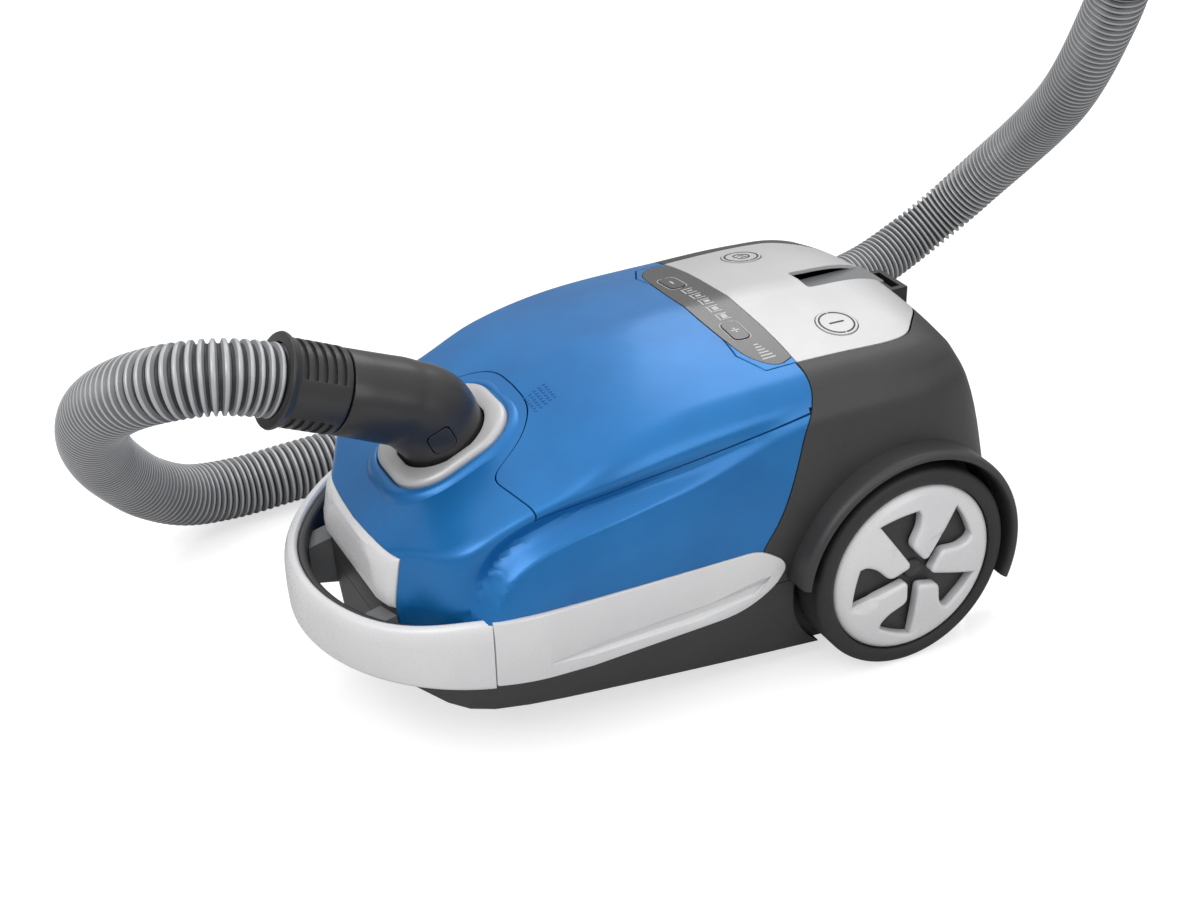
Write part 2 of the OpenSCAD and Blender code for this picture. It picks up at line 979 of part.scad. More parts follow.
module lid() {
    color(BLUE)
        difference() {
            intersection() {
                body_skin();
                lid_region(seam / 2);
            }
            // room for the display, which the rear edge of the lid swings past
            on_hinge() {
                cylinder(h = 2 * sweep_x, r = sweep_r, center = true);
                for (s = [-1, 1])
                    translate([0, 0, s > 0 ? sweep_x - 0.01 : -panel_half - seam])
                        cylinder(h = panel_half + seam - sweep_x + 0.01, r1 = s > 0 ? sweep_r : sweep_end_r,
                            r2 = s > 0 ? sweep_end_r : sweep_r);
            }
            // the wings beside the display end in a round knuckle
            difference() {
                translate([-body_w, hinge_y, 0])
                    cube([2 * body_w, 60, 2 * height]);
                on_hinge()
                    cylinder(h = 3 * body_w, r = knuckle_r, center = true);
            }
        }
    color(BLUE)
        for (s = [-1, 1])
            difference() {
                translate([s > 0 ? 86 : -94, hinge_y, hinge_z])
                    rotate([0, 90, 0])
                        cylinder(h = 8, r = 6);
                on_hinge()
                    cylinder(h = body_w, r = pin_r + fit, center = true);
            }
}

module lid_seal() {
    color(BLACK)
        intersection() {
            difference() {
                body_form(wall + 0.02);
                body_form(wall + 3);
            }
            difference() {
                lid_region(9);
                lid_region(13);
            }
            translate([-body_w, front_y, 0])
                cube([2 * body_w, hinge_y - 42 - front_y, 2 * height]);
        }
}

module on_motor() {
    translate([motor_x, motor_y, motor_z])
        rotate([-90, 0, 0])
            children();
}

module motor_housing() {
    color([0.35, 0.36, 0.38])
        on_motor()
            difference() {
                union() {
                    cylinder(h = 34, r = motor_r);
                    cylinder(h = motor_l, r = motor_r - 12);
                }
                translate([0, 0, 2.5])
                    cylinder(h = 29, r = motor_r - 2.5);
                translate([0, 0, -1])
                    cylinder(h = 5, r = 17);
                translate([0, 0, 30])
                    cylinder(h = motor_l - 33, r = motor_r - 14.5);
                translate([0, 0, motor_l - 6])
                    cylinder(h = 8, r = 6.6);
                for (a = [30 : 60 : 359])
                    rotate([0, 0, a])
                        translate([motor_r - 16, -6, motor_l - 34])
                            cube([8, 12, 16]);
            }
}

module motor_stator() {
    color(STEEL)
        on_motor()
            translate([0, 0, 46])
                difference() {
                    cylinder(h = 32, r = motor_r - 14.6);
                    translate([0, 0, -1])
                        cylinder(h = 34, r = 19);
                }
}

module motor_rotor() {
    color([0.72, 0.45, 0.25])
        on_motor() {
            translate([0, 0, 6])
                cylinder(h = motor_l - 8, r = 4);
            translate([0, 0, 46])
                cylinder(h = 32, r = 17.6);
            translate([0, 0, 82])
                cylinder(h = 10, r = 11);
        }
}

module motor_fan() {
    color([0.75, 0.76, 0.78])
        on_motor()
            translate([0, 0, 9]) {
                difference() {
                    cylinder(h = 3, r = motor_r - 5);
                    translate([0, 0, -1])
                        cylinder(h = 5, r = 4);
                }
                for (a = [0 : 45 : 359])
                    rotate([0, 0, a])
                        translate([10, -0.6, 3])
                            cube([motor_r - 17, 1.2, 10]);
                difference() {
                    cylinder(h = 13, r = 8);
                    translate([0, 0, -1])
                        cylinder(h = 15, r = 4);
                }
            }
}

module motor_bearings() {
    color(STEEL)
        on_motor()
            for (z = [36, motor_l - 5.4])
                translate([0, 0, z])
                    difference() {
                        cylinder(h = 5, r = z > 50 ? 6.5 : 9);
                        translate([0, 0, -1])
                            cylinder(h = 7, r = 4 + fit);
                    }
}

module carbon_brushes() {
    color(BLACK)
        on_motor()
            for (s = [-1, 1])
                translate([s > 0 ? 11.4 : -26.4, -3, 84])
                    cube([15, 6, 6]);
}

module motor_mounts() {
    color(BLACK)
        on_motor()
            for (z = [6.5, motor_l - 12])
                translate([0, 0, z])
                    difference() {
                        cylinder(h = 6, r = z < 20 ? motor_r + 3.8 : motor_r - 8.5);
                        translate([0, 0, -1])
                            cylinder(h = 8, r = z < 20 ? motor_r + 0.1 : motor_r - 11.9);
                    }
}

module on_reel() {
    translate([reel_x, reel_y, reel_z])
        rotate([0, 90, 0])
            children();
}

module cord_reel() {
    color([0.85, 0.86, 0.87])
        on_reel()
            difference() {
                union() {
                    for (z = [-reel_w / 2, reel_w / 2 - 2])
                        translate([0, 0, z])
                            cylinder(h = 2, r = reel_r);
                    cylinder(h = reel_w, r = 26, center = true);
                }
                cylinder(h = reel_w + 2, r = 4 + fit, center = true);
            }
}

module reel_axle() {
    color(STEEL)
        on_reel()
            cylinder(h = reel_w + 20, r = 4, center = true);
}

module reel_spring_case() {
    color([0.55, 0.56, 0.58])
        on_reel()
            translate([0, 0, reel_w / 2 + 0.6])
                difference() {
                    cylinder(h = 4, r = 30);
                    translate([0, 0, -1])
                        cylinder(h = 6, r = 4 + 0.5);
                }
}

// Rocking lever: the rewind button pushes one end down, which lifts the roller off the reel
roller_r = 4;
brake_x = 6;
brake_z = reel_z + sqrt(reel_r ^ 2 - (reel_y - pedal_y) ^ 2) + 2 * roller_r + 0.95;
module reel_brake() {
    color(BLACK) {
        difference() {
            union() {
                translate([-pedal_x - 5, pedal_y - 3, brake_z])
                    cube([reel_x + pedal_x - 1, 6, 4]);
                translate([brake_x, pedal_y + 3, brake_z + 2])
                    rotate([90, 0, 0])
                        cylinder(h = 6, r = 4.5);
            }
            translate([brake_x, pedal_y + 4, brake_z + 2])
                rotate([90, 0, 0])
                    cylinder(h = 8, r = 2 + fit);
        }
        translate([reel_x - reel_w / 2 - 4, pedal_y, brake_z - roller_r - 0.6])
            rotate([0, 90, 0])
                cylinder(h = 10, r = roller_r);
        translate([reel_x - reel_w / 2 - 4, pedal_y - 3, brake_z - 2])
            cube([10, 6, 3]);
    }
}

module circuit_board() {
    color([0.10, 0.35, 0.18]) {
        translate([-66, display_front + 8, height - 26])
            cube([132, 24, 1.6]);
        for (x = [-36, 0, 36])
            translate([x - 7, display_front + 12, height - 24.4])
                cube([14, 12, 5]);
    }
}

stem_r = 3;
module pedal(s, stem_low) {
    translate([s * pedal_x, pedal_y, 0]) {
        translate([0, 0, pedal_top - 8])
            cylinder(h = 8, r = pedal_r);
        translate([0, 0, stem_low])
            cylinder(h = pedal_top - 7 - stem_low, r = stem_r);
    }
}

module power_button() {
    color(SILVER)
        pedal(1, pedal_top - 26 - pedal_travel);
}

module rewind_button() {
    color(SILVER)
        pedal(-1, brake_z + 4.4);
}

module button_springs() {
    color(STEEL)
        for (s = [-1, 1])
            translate([s * pedal_x, pedal_y, pedal_top - 27])
                for (k = [0 : 5])
                    translate([0, 0, k * 2.4])
                        rotate_extrude()
                            translate([5.4, 0])
                                circle(0.7, $fn = 16);
}

module rocker(s) {
    translate([s * rocker_x, rocker_y, top_z(rocker_x, rocker_y) - 7])
        linear_extrude(7)
            rocker_shape(0);
}

module plus_button() {
    color(BLACK)
        rocker(-1);
}

module minus_button() {
    color(BLACK)
        rocker(1);
}

// ---------------------------------------------------------------- exhaust

exhaust_x = 78;
exhaust_low = split_z + 10;
exhaust_top = split_z + 74;
module exhaust_opening(gap) {
    translate([-exhaust_x - gap, tail_y - 60, exhaust_low - gap])
        cube([2 * (exhaust_x + gap), 120, exhaust_top - exhaust_low + 2 * gap]);
}

module exhaust_cover() {
    color(DARK)
        difference() {
            intersection() {
                body_skin();
                translate([-exhaust_x, tail_y - 50, exhaust_low])
                    cube([2 * exhaust_x, 100, exhaust_top - exhaust_low]);
            }
            for (k = [0 : 6])
                translate([-exhaust_x + 12, tail_y - 60, exhaust_low + 9 + k * 7])
                    cube([2 * exhaust_x - 24, 120, 3.4]);
        }
}

module exhaust_filter() {
    color(WHITE)
        translate([-exhaust_x + 6, tail_y - 33.5, exhaust_low - 4])
            difference() {
                cube([2 * exhaust_x - 12, 10, 54]);
                for (k = [0 : 15])
                    translate([8 + k * 8, -1, 4])
                        cube([4, 7, 46]);
            }
}

// ---------------------------------------------------------------- wheels

wheel_out = hw + 16;
module on_wheel(s) {
    translate([s * wheel_out, axle_y, tyre_r])
        rotate([0, -s * 90, 0])
            children();
}

module tyre(s) {
    color(DARK)
        on_wheel(s)
            difference() {
                rotate_extrude($fn = 96)
                    polygon([
                        [hub_r + 0.2, 1], [tyre_r - 3, 0], [tyre_r - 0.8, 1], [tyre_r, 4],
                        [tyre_r, tyre_w - 4], [tyre_r - 2, tyre_w], [14, tyre_w], [14, tyre_w - 5],
                        [hub_r + 0.2, tyre_w - 12]]);
                translate([0, 0, -1])
                    cylinder(h = tyre_w + 2, r = 14);
            }
    color(DARK)
        on_wheel(s)
            translate([0, 0, tyre_w - 16])
                difference() {
                    cylinder(h = 16, r = 14.5);
                    translate([0, 0, -1])
                        cylinder(h = 18, r = axle_r + fit);
                }
}

module tyre_left() {
    tyre(-1);
}

module tyre_right() {
    tyre(1);
}

// Hubcap: rim and five broad blades in a pinwheel
module hubcap(s) {
    color(WHITE)
        on_wheel(s)
            mirror([s > 0 ? 0 : 1, 0, 0])
                translate([0, 0, -3]) {
                    linear_extrude(8)
                        difference() {
                            circle(hub_r, $fn = 96);
                            circle(hub_r - 9, $fn = 96);
                        }
                    linear_extrude(7)
                        intersection() {
                            circle(hub_r - 2, $fn = 96);
                            for (a = [0 : 72 : 359])
                                rotate(a)
                                    polygon([[9, 3], [12, -12], [hub_r, -22], [hub_r, 4]]);
                        }
                    translate([0, 0, 6])
                        cylinder(h = 2, r = hub_r - 1);
                }
}

module hubcap_left() {
    hubcap(-1);
}

module hubcap_right() {
    hubcap(1);
}

module wheel_axles() {
    color(STEEL)
        for (s = [-1, 1])
            translate([s * (well_x - 12), axle_y, tyre_r])
                rotate([0, s * 90, 0])
                    cylinder(h = wheel_out - well_x + 12 - 8, r = axle_r);
}

caster_trail = 9;
module caster_fork() {
    color(BLACK)
        translate([0, caster_y, 0]) {
            translate([0, 0, caster_roof - 3.4])
                cylinder(h = 3, r = 16);
            translate([0, 0, caster_roof - 1])
                cylinder(h = 13.4, r = caster_hub_r);
            for (s = [-1, 1])
                translate([s * 11 - 1.5, caster_trail, 0])
                    difference() {
                        union() {
                            translate([0, 0, caster_r])
                                rotate([0, 90, 0])
                                    cylinder(h = 3, r = 7);
                            translate([0, -7, caster_r])
                                cube([3, 14, caster_roof - 3 - caster_r]);
                        }
                        translate([-1, 0, caster_r])
                            rotate([0, 90, 0])
                                cylinder(h = 5, r = 2);
                    }
        }
}

module caster_axle() {
    color(STEEL)
        translate([0, caster_y + caster_trail, caster_r])
            rotate([0, 90, 0])
                cylinder(h = 25, r = 2, center = true);
}

module caster_wheel() {
    color(DARK)
        translate([0, caster_y + caster_trail, caster_r])
            rotate([0, 90, 0])
                difference() {
                    cylinder(h = 17, r = caster_r, center = true);
                    cylinder(h = 19, r = 2 + fit, center = true);
                }
}

module base_screws() {
    color(STEEL)
        for (s = [-1, 1])
            for (y = [nose_y + 40, panel_y - 30])
                difference() {
                    translate([s * (hw - 40), y, under_z(y) - 2.4])
                        cylinder(h = 6, r = 3.4);
                    body_form(-0.05);
                }
}

base_pan();
rear_housing();
front_shell();
top_panel();
display_window();
hose_collar();
bumper_loop();
bumper_liner();
side_trim_left();
side_trim_right();
front_post();
rear_feet();
parking_bracket();
bulkhead();
inlet_seal();
exhaust_filter();
exhaust_cover();
motor_housing();
motor_stator();
motor_rotor();
motor_fan();
motor_bearings();
carbon_brushes();
motor_mounts();
cord_reel();
reel_axle();
reel_spring_case();
reel_brake();
circuit_board();
power_button();
rewind_button();
button_springs();
plus_button();
minus_button();
filter_frame();
filter_foam();
dust_bag();
bag_plate();
bag_holder();
lid();
lid_seal();
lid_hinge_pins();
latch_lever();
latch_slide();
tyre_left();
tyre_right();
hubcap_left();
hubcap_right();
wheel_axles();
caster_fork();
caster_wheel();
caster_axle();
hose_elbow();
elbow_button(-1);  // elbow_button_left
elbow_button(1);  // elbow_button_right
hose_cuff();
hose();
hand_grip();
grip_slider();
base_screws();
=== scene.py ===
"""Canister vacuum cleaner: the looks of the assembly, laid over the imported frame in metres."""

import json
import logging
import math
from dataclasses import dataclass, field
from enum import Enum
from typing import Any, Callable, Iterable, Optional, Sequence

import bmesh
import bpy
from mathutils import Matrix, Vector
from mathutils.bvhtree import BVHTree

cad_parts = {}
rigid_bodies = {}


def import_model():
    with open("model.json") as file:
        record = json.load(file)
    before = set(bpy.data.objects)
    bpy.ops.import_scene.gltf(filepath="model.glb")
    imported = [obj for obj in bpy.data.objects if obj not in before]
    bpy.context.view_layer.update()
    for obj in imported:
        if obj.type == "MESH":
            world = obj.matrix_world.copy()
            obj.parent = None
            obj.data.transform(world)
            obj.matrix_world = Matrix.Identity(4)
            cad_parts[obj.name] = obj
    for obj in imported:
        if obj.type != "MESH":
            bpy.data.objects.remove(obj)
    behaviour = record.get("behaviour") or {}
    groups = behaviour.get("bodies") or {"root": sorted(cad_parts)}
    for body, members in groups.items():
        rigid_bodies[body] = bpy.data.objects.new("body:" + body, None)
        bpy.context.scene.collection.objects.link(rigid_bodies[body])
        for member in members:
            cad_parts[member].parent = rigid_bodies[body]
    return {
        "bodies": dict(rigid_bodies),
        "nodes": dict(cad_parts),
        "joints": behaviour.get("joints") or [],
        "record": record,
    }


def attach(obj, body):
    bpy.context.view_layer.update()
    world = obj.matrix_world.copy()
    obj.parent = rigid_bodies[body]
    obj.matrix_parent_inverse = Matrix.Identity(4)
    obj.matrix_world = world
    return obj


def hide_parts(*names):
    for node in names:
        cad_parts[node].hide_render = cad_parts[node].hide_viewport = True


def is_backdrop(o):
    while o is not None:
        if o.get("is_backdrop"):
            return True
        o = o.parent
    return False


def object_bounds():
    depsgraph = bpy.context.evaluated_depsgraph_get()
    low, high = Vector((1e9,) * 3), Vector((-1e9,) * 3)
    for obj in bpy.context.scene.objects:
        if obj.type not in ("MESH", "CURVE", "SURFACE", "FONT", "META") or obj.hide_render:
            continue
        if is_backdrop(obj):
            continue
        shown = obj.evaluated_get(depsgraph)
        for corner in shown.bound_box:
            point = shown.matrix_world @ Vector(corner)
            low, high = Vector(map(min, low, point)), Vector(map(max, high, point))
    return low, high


LOG = logging.getLogger("canister_vacuum")
Point = tuple[float, float, float]
Flat = tuple[float, float]
MM = 0.001
# Spacing of the slow drift in colour, and of the flakes in a metallic lacquer, drawn as coarse as shows.
DRIFT_MM = 60
FLAKE_MM = 0.5


# ---------------------------------------------------------------- colours and nodes


def linear(code: str) -> tuple[float, float, float, float]:
    """Turn an sRGB hex colour into linear light.

    Args:
        code: Six hex digits, with or without a leading #.

    Returns:
        Linear red, green, blue and an alpha of one.
    """
    digits = code.lstrip("#")
    out = []
    for i in (0, 2, 4):
        c = int(digits[i : i + 2], 16) / 255
        out.append(c / 12.92 if c <= 0.04045 else ((c + 0.055) / 1.055) ** 2.4)
    return (out[0], out[1], out[2], 1.0)


def add_node(
    tree: bpy.types.NodeTree,
    kind: str,
    settings: Optional[dict[str, Any]] = None,
    links: Optional[dict[str, bpy.types.NodeSocket]] = None,
) -> bpy.types.Node:
    """Add one node, set its properties or inputs, and link into it.

    Args:
        tree: The node tree to add to.
        kind: The node's type name.
        settings: Property or input names with their values.
        links: Input names with the sockets that feed them.

    Returns:
        The new node.
    """
    node = tree.nodes.new(kind)
    for name, value in (settings or {}).items():
        if name in node.inputs:
            node.inputs[name].default_value = value
        elif name.isdigit():
            node.inputs[int(name)].default_value = value
        else:
            setattr(node, name, value)
    for name, socket in (links or {}).items():
        target = node.inputs[int(name)] if name.isdigit() else node.inputs[name]
        tree.links.new(socket, target)
    return node


class Grain(Enum):
    """How a moulded or woven surface breaks up at close range."""

    SATIN = "satin"
    SPARK = "spark"
    FIBRE = "fibre"
    FOAM = "foam"
    BRUSHED = "brushed"
    WOUND = "wound"


@dataclass(frozen=True)
class Finish:
    """One surface finish, from which a procedural material is made.

    The colour varies a little over tens of millimetres, as regrind and handling make it vary, and the
    grain sets roughness and relief at its own spacing.
    """

    name: str
    colour: str
    shade: str
    roughness: float
    grain: Grain = Grain.SATIN
    grain_mm: float = 0.9
    relief: float = 0.05
    metallic: float = 0.0
    ior: float = 1.46
    coat: float = 0.0
    sheen: float = 0.0
    edge_mm: float = 0.0
    flake: float = 0.0

    def material(self) -> bpy.types.Material:
        """Return the material, made once and then shared."""
        found = bpy.data.materials.get(self.name)
        if found:
            return found
        mat = bpy.data.materials.new(self.name)
        mat.use_nodes = True
        tree = mat.node_tree
        tree.nodes.clear()
        place = add_node(tree, "ShaderNodeTexCoord")
        object_place = place.outputs["Object"]
        stretch = (1.0, 1.0, 1.0)
        if self.grain is Grain.BRUSHED:
            stretch = (1.0, 18.0, 18.0)
        elif self.grain is Grain.WOUND:
            stretch = (1.0, 6.0, 1.0)
        mapped = add_node(tree, "ShaderNodeMapping", {"Scale": stretch}, {"Vector": object_place})
        broad = add_node(tree, "ShaderNodeTexNoise",
                         {"Scale": 1 / (DRIFT_MM * MM), "Detail": 3.0, "Roughness": 0.55},
                         {"Vector": object_place})
        fine = add_node(tree, "ShaderNodeTexNoise",
                        {"Scale": 1 / (self.grain_mm * MM), "Detail": 2.0, "Roughness": 0.6},
                        {"Vector": mapped.outputs["Vector"]})
        grain_out = fine.outputs["Fac"]
        if self.grain in (Grain.FOAM, Grain.SPARK):
            cells = add_node(tree, "ShaderNodeTexVoronoi", {"Scale": 1 / (self.grain_mm * MM)},
                             {"Vector": mapped.outputs["Vector"]})
            grain_out = cells.outputs["Distance"]
        if self.grain is Grain.WOUND:
            wire = add_node(tree, "ShaderNodeTexWave",
                            {"Scale": 1 / (self.grain_mm * 6 * MM), "Distortion": 0.6, "Detail": 1.0,
                             "bands_direction": "Y"}, {"Vector": object_place})
            grain_out = wire.outputs["Fac"]
        tone = add_node(tree, "ShaderNodeMapRange", {"1": 0.35, "2": 0.65, "3": 0.0, "4": 1.0},
                        {"0": broad.outputs["Fac"]})
        tint = add_node(tree, "ShaderNodeMix",
                        {"data_type": "RGBA", "6": linear(self.colour), "7": linear(self.shade)},
                        {"0": tone.outputs[0]})
        colour_out = tint.outputs[2]
        if self.flake > 0:
            speck = add_node(tree, "ShaderNodeTexVoronoi", {"Scale": 1 / (FLAKE_MM * MM)},
                             {"Vector": object_place})
            lift = add_node(tree, "ShaderNodeMapRange", {"1": 0.0, "2": 0.35, "3": self.flake, "4": 0.0},
                            {"0": speck.outputs["Distance"]})
            shine = add_node(tree, "ShaderNodeMix",
                             {"data_type": "RGBA", "blend_type": "ADD", "7": (0.35, 0.4, 0.45, 1.0)},
                             {"0": lift.outputs[0], "6": colour_out})
            colour_out = shine.outputs[2]
        dull, shiny = min(1.0, self.roughness + 0.06), max(0.05, self.roughness - 0.06)
        rough = add_node(tree, "ShaderNodeMapRange", {"1": 0.3, "2": 0.7, "3": shiny, "4": dull},
                         {"0": fine.outputs["Fac"]})
        bump = add_node(tree, "ShaderNodeBump",
                        {"Strength": min(1.0, self.relief * 4), "Distance": self.relief * self.grain_mm * MM},
                        {"Height": grain_out})
        if self.edge_mm > 0:
            soft = add_node(tree, "ShaderNodeBevel", {"samples": 4, "Radius": self.edge_mm * MM})
            tree.links.new(soft.outputs["Normal"], bump.inputs["Normal"])
        shader = add_node(
            tree, "ShaderNodeBsdfPrincipled",
            {"Metallic": self.metallic, "Coat Weight": self.coat, "Coat Roughness": 0.12,
             "Sheen Weight": self.sheen},
            {"Base Color": colour_out, "Roughness": rough.outputs[0], "Normal": bump.outputs["Normal"]})
        if self.metallic < 0.5:
            shader.inputs["IOR"].default_value = self.ior
        add_node(tree, "ShaderNodeOutputMaterial", {}, {"Surface": shader.outputs["BSDF"]})
        mat.diffuse_color = linear(self.colour)
        return mat


# ABS with mica flake under a satin lacquer: a soft, slightly metallic blue that darkens away from light.
BLUE_SHELL = Finish("metallic_blue_abs", "#1573B8", "#126AAD", 0.34, Grain.SATIN, grain_mm=0.7,
                    relief=0.015, metallic=0.35, ior=1.5, coat=0.12, edge_mm=0.7, flake=0.06)
# ABS in silver lacquer, as on the control panel.
SILVER_PANEL = Finish("silver_lacquered_abs", "#C2C2C3", "#BBBBBC", 0.36, Grain.SATIN, grain_mm=0.7,
                      relief=0.015, metallic=0.2, ior=1.5, coat=0.1, edge_mm=0.8, flake=0.08)
# Pearl white ABS: smooth, a little translucent looking, with clear soft highlights.
WHITE_TRIM = Finish("pearl_white_abs", "#DEDEDF", "#D8D8DA", 0.30, Grain.SATIN, grain_mm=0.8,
                    relief=0.015, ior=1.5, coat=0.25, edge_mm=0.8)
# Spark-eroded charcoal polypropylene: even, fine grain and no clear reflections.
CHARCOAL = Finish("charcoal_polypropylene", "#39393A", "#343435", 0.46, Grain.SPARK, grain_mm=0.8,
                  relief=0.10, ior=1.49, edge_mm=0.8)
# Charcoal ABS, glossier than the shells where fingers and air pass: elbow and cuff.
ELBOW_PLASTIC = Finish("satin_charcoal_abs", "#2F2E2F", "#2B2A2B", 0.34, Grain.SPARK, grain_mm=0.8,
                       relief=0.04, ior=1.5, coat=0.05, edge_mm=0.5)
# Black polypropylene of the small fittings: duller and darker than the shells.
BLACK_PLASTIC = Finish("black_polypropylene", "#1B1B1C", "#171718", 0.5, Grain.SPARK, grain_mm=0.8,
                       relief=0.08, ior=1.49, edge_mm=0.4)
# Smoked polycarbonate window over the indicator lamps.
SMOKED = Finish("smoked_polycarbonate", "#3C3A39", "#383635", 0.24, Grain.SATIN, grain_mm=1.2,
                relief=0.01, ior=1.58, coat=0.3, edge_mm=0.4)
# Mid grey polypropylene of the posts and the recess: plain and matt.
GREY_PLASTIC = Finish("grey_polypropylene", "#6E6F71", "#68696B", 0.45, Grain.SPARK, grain_mm=0.8,
                      relief=0.05, ior=1.49, edge_mm=0.5)
# Pad-printed inks of the pictograms: flat and even, with hardly any gloss.
DARK_INK = Finish("pad_printed_black", "#151516", "#121213", 0.4, Grain.SATIN, grain_mm=0.8,
                  relief=0.01)
PALE_INK = Finish("pad_printed_grey", "#B9BABB", "#B2B3B5", 0.45, Grain.SATIN, grain_mm=0.8,
                  relief=0.01)
# Thermoplastic rubber tread and seals: dull, slightly dusty.
TREAD = Finish("tpe_tread", "#2A2A2B", "#252526", 0.6, Grain.SPARK, grain_mm=0.7, relief=0.12, ior=1.5,
               edge_mm=0.5)
SEAL = Finish("epdm_rubber", "#19191A", "#151516", 0.7, Grain.SPARK, grain_mm=0.6, relief=0.10, ior=1.5)
# Spiral-wound silver polyethylene hose: silver ridges; the flanks take a mid grey copy as painted shade, and
# the valleys a dark copy as painted shadow.
HOSE_RIDGE = Finish("silver_polyethylene", "#B9BABC", "#B0B1B3", 0.36, Grain.SATIN, grain_mm=1.0,
                    relief=0.02, metallic=0.2, ior=1.51)
HOSE_FLANK_PAINTED_SHADE = Finish("mid_grey_polyethylene", "#7C7D80", "#757679", 0.42, Grain.SATIN, grain_mm=1.0,
                    relief=0.02, metallic=0.1, ior=1.51)
HOSE_VALLEY_PAINTED_SHADE = Finish("grey_polyethylene", "#2E2F31", "#292A2C", 0.5, Grain.SATIN, grain_mm=1.0,
                     relief=0.03, ior=1.51)
# Zinc-plated, drawn steel: bright, with fine lines along the part.
STEEL = Finish("zinc_plated_steel", "#B9BCC0", "#A9ACB0", 0.32, Grain.BRUSHED, grain_mm=0.5,
               relief=0.06, metallic=1.0)
# Stacked sheets of electrical steel: fine stripes across the stack.
LAMINATION = Finish("electrical_steel_stack", "#8C8F93", "#7D8084", 0.42, Grain.WOUND, grain_mm=0.5,
                    relief=0.3, metallic=1.0)
# Enamelled wire wound in turns: warm, banded gloss.
COPPER = Finish("enamelled_copper_wire", "#B0642F", "#9A5526", 0.35, Grain.WOUND, grain_mm=0.6,
                relief=0.4, metallic=1.0)
# Pressed aluminium sheet: pale, brushed shine.
ALUMINIUM = Finish("pressed_aluminium", "#D4D6D8", "#C8CACC", 0.3, Grain.BRUSHED, grain_mm=0.6,
                   relief=0.05, metallic=1.0)
# Pressed carbon: near black, with a faint sparkle.
CARBON = Finish("carbon_graphite", "#1E1E20", "#28282A", 0.48, Grain.SPARK, grain_mm=0.4, relief=0.2)
# Glass-filled nylon: matt, with short fibres that show in the skin.
MOTOR_CASE = Finish("glass_filled_nylon", "#4A4B4E", "#424346", 0.55, Grain.FIBRE, grain_mm=0.9,
                    relief=0.12, ior=1.53, edge_mm=0.4)
# Unpigmented polypropylene: milky and soft.
REEL_PLASTIC = Finish("natural_polypropylene", "#D8D9DA", "#CFD0D1", 0.42, Grain.SATIN, grain_mm=0.9,
                      relief=0.03, ior=1.49, edge_mm=0.5)
# Fibreglass under green solder mask: a thin gloss over the weave.
BOARD = Finish("solder_masked_fibreglass", "#1B5A34", "#174F2D", 0.35, Grain.FIBRE, grain_mm=0.6,
               relief=0.05, ior=1.55, coat=0.3)
# Open-cell foam: dull, with pores coarse enough to see.
FOAM = Finish("open_cell_polyurethane", "#34363A", "#2B2D30", 0.95, Grain.FOAM, grain_mm=1.6,
              relief=0.6, ior=1.5, sheen=0.2)
# Spunbonded fleece: soft and fibrous, with a slight bloom at the edges.
FLEECE = Finish("spunbonded_fleece", "#EDEAE0", "#E3DFD2", 0.9, Grain.FIBRE, grain_mm=1.1, relief=0.35,
                ior=1.5, sheen=0.4)
# Pressed board: dry and brown, with short fibres.
CARD = Finish("grey_board", "#B08D62", "#A27F55", 0.8, Grain.FIBRE, grain_mm=0.7, relief=0.2)
# Glass-fibre filter paper: chalky white.
FILTER_PAPER = Finish("pleated_glass_paper", "#EFEFEC", "#E6E6E2", 0.85, Grain.FIBRE, grain_mm=0.6,
                      relief=0.2)
# Blue polypropylene of the bag holder: plain satin.
BLUE_PLASTIC = Finish("blue_polypropylene", "#2C66AE", "#285EA2", 0.42, Grain.SATIN, grain_mm=0.9,
                      relief=0.03, ior=1.49, edge_mm=0.5)


# ---------------------------------------------------------------- mesh helpers


def new_object(name: str, mesh: bpy.types.Mesh, finish: Finish, sharp: float = 34.0) -> bpy.types.Object:
    """Put a mesh in the scene with its finish, smooth apart from its sharp edges.

    Args:
        name: The piece's name.
        mesh: Its mesh, in metres in the shared frame.
        finish: Its surface finish.
        sharp: Edges steeper than this many degrees stay sharp.

    Returns:
        The new object.
    """
    obj = bpy.data.objects.new(name, mesh)
    bpy.context.scene.collection.objects.link(obj)
    refinish(obj, finish, sharp)
    return obj


def refinish(obj: bpy.types.Object, finish: Finish, sharp: float = 34.0) -> None:
    """Give an object one finish all over, and shade it smooth apart from its sharp edges."""
    obj.data.materials.clear()
    obj.data.materials.append(finish.material())
    smooth(obj, sharp)


def smooth(obj: bpy.types.Object, sharp: float = 34.0) -> None:
    """Shade an object smooth, with edges steeper than the given angle left sharp."""
    for poly in obj.data.polygons:
        poly.use_smooth = True
    obj.data.set_sharp_from_angle(angle=math.radians(sharp))


def mesh_of(name: str, points: Sequence[Sequence[float]], faces: Sequence[Sequence[int]]) -> bpy.types.Mesh:
    """Make a mesh from points in metres and faces, with outward normals."""
    mesh = bpy.data.meshes.new(name)
    mesh.from_pydata([tuple(p) for p in points], [], [tuple(f) for f in faces])
    bm = bmesh.new()
    bm.from_mesh(mesh)
    bmesh.ops.recalc_face_normals(bm, faces=bm.faces)
    bm.to_mesh(mesh)
    bm.free()
    mesh.update()
    return mesh


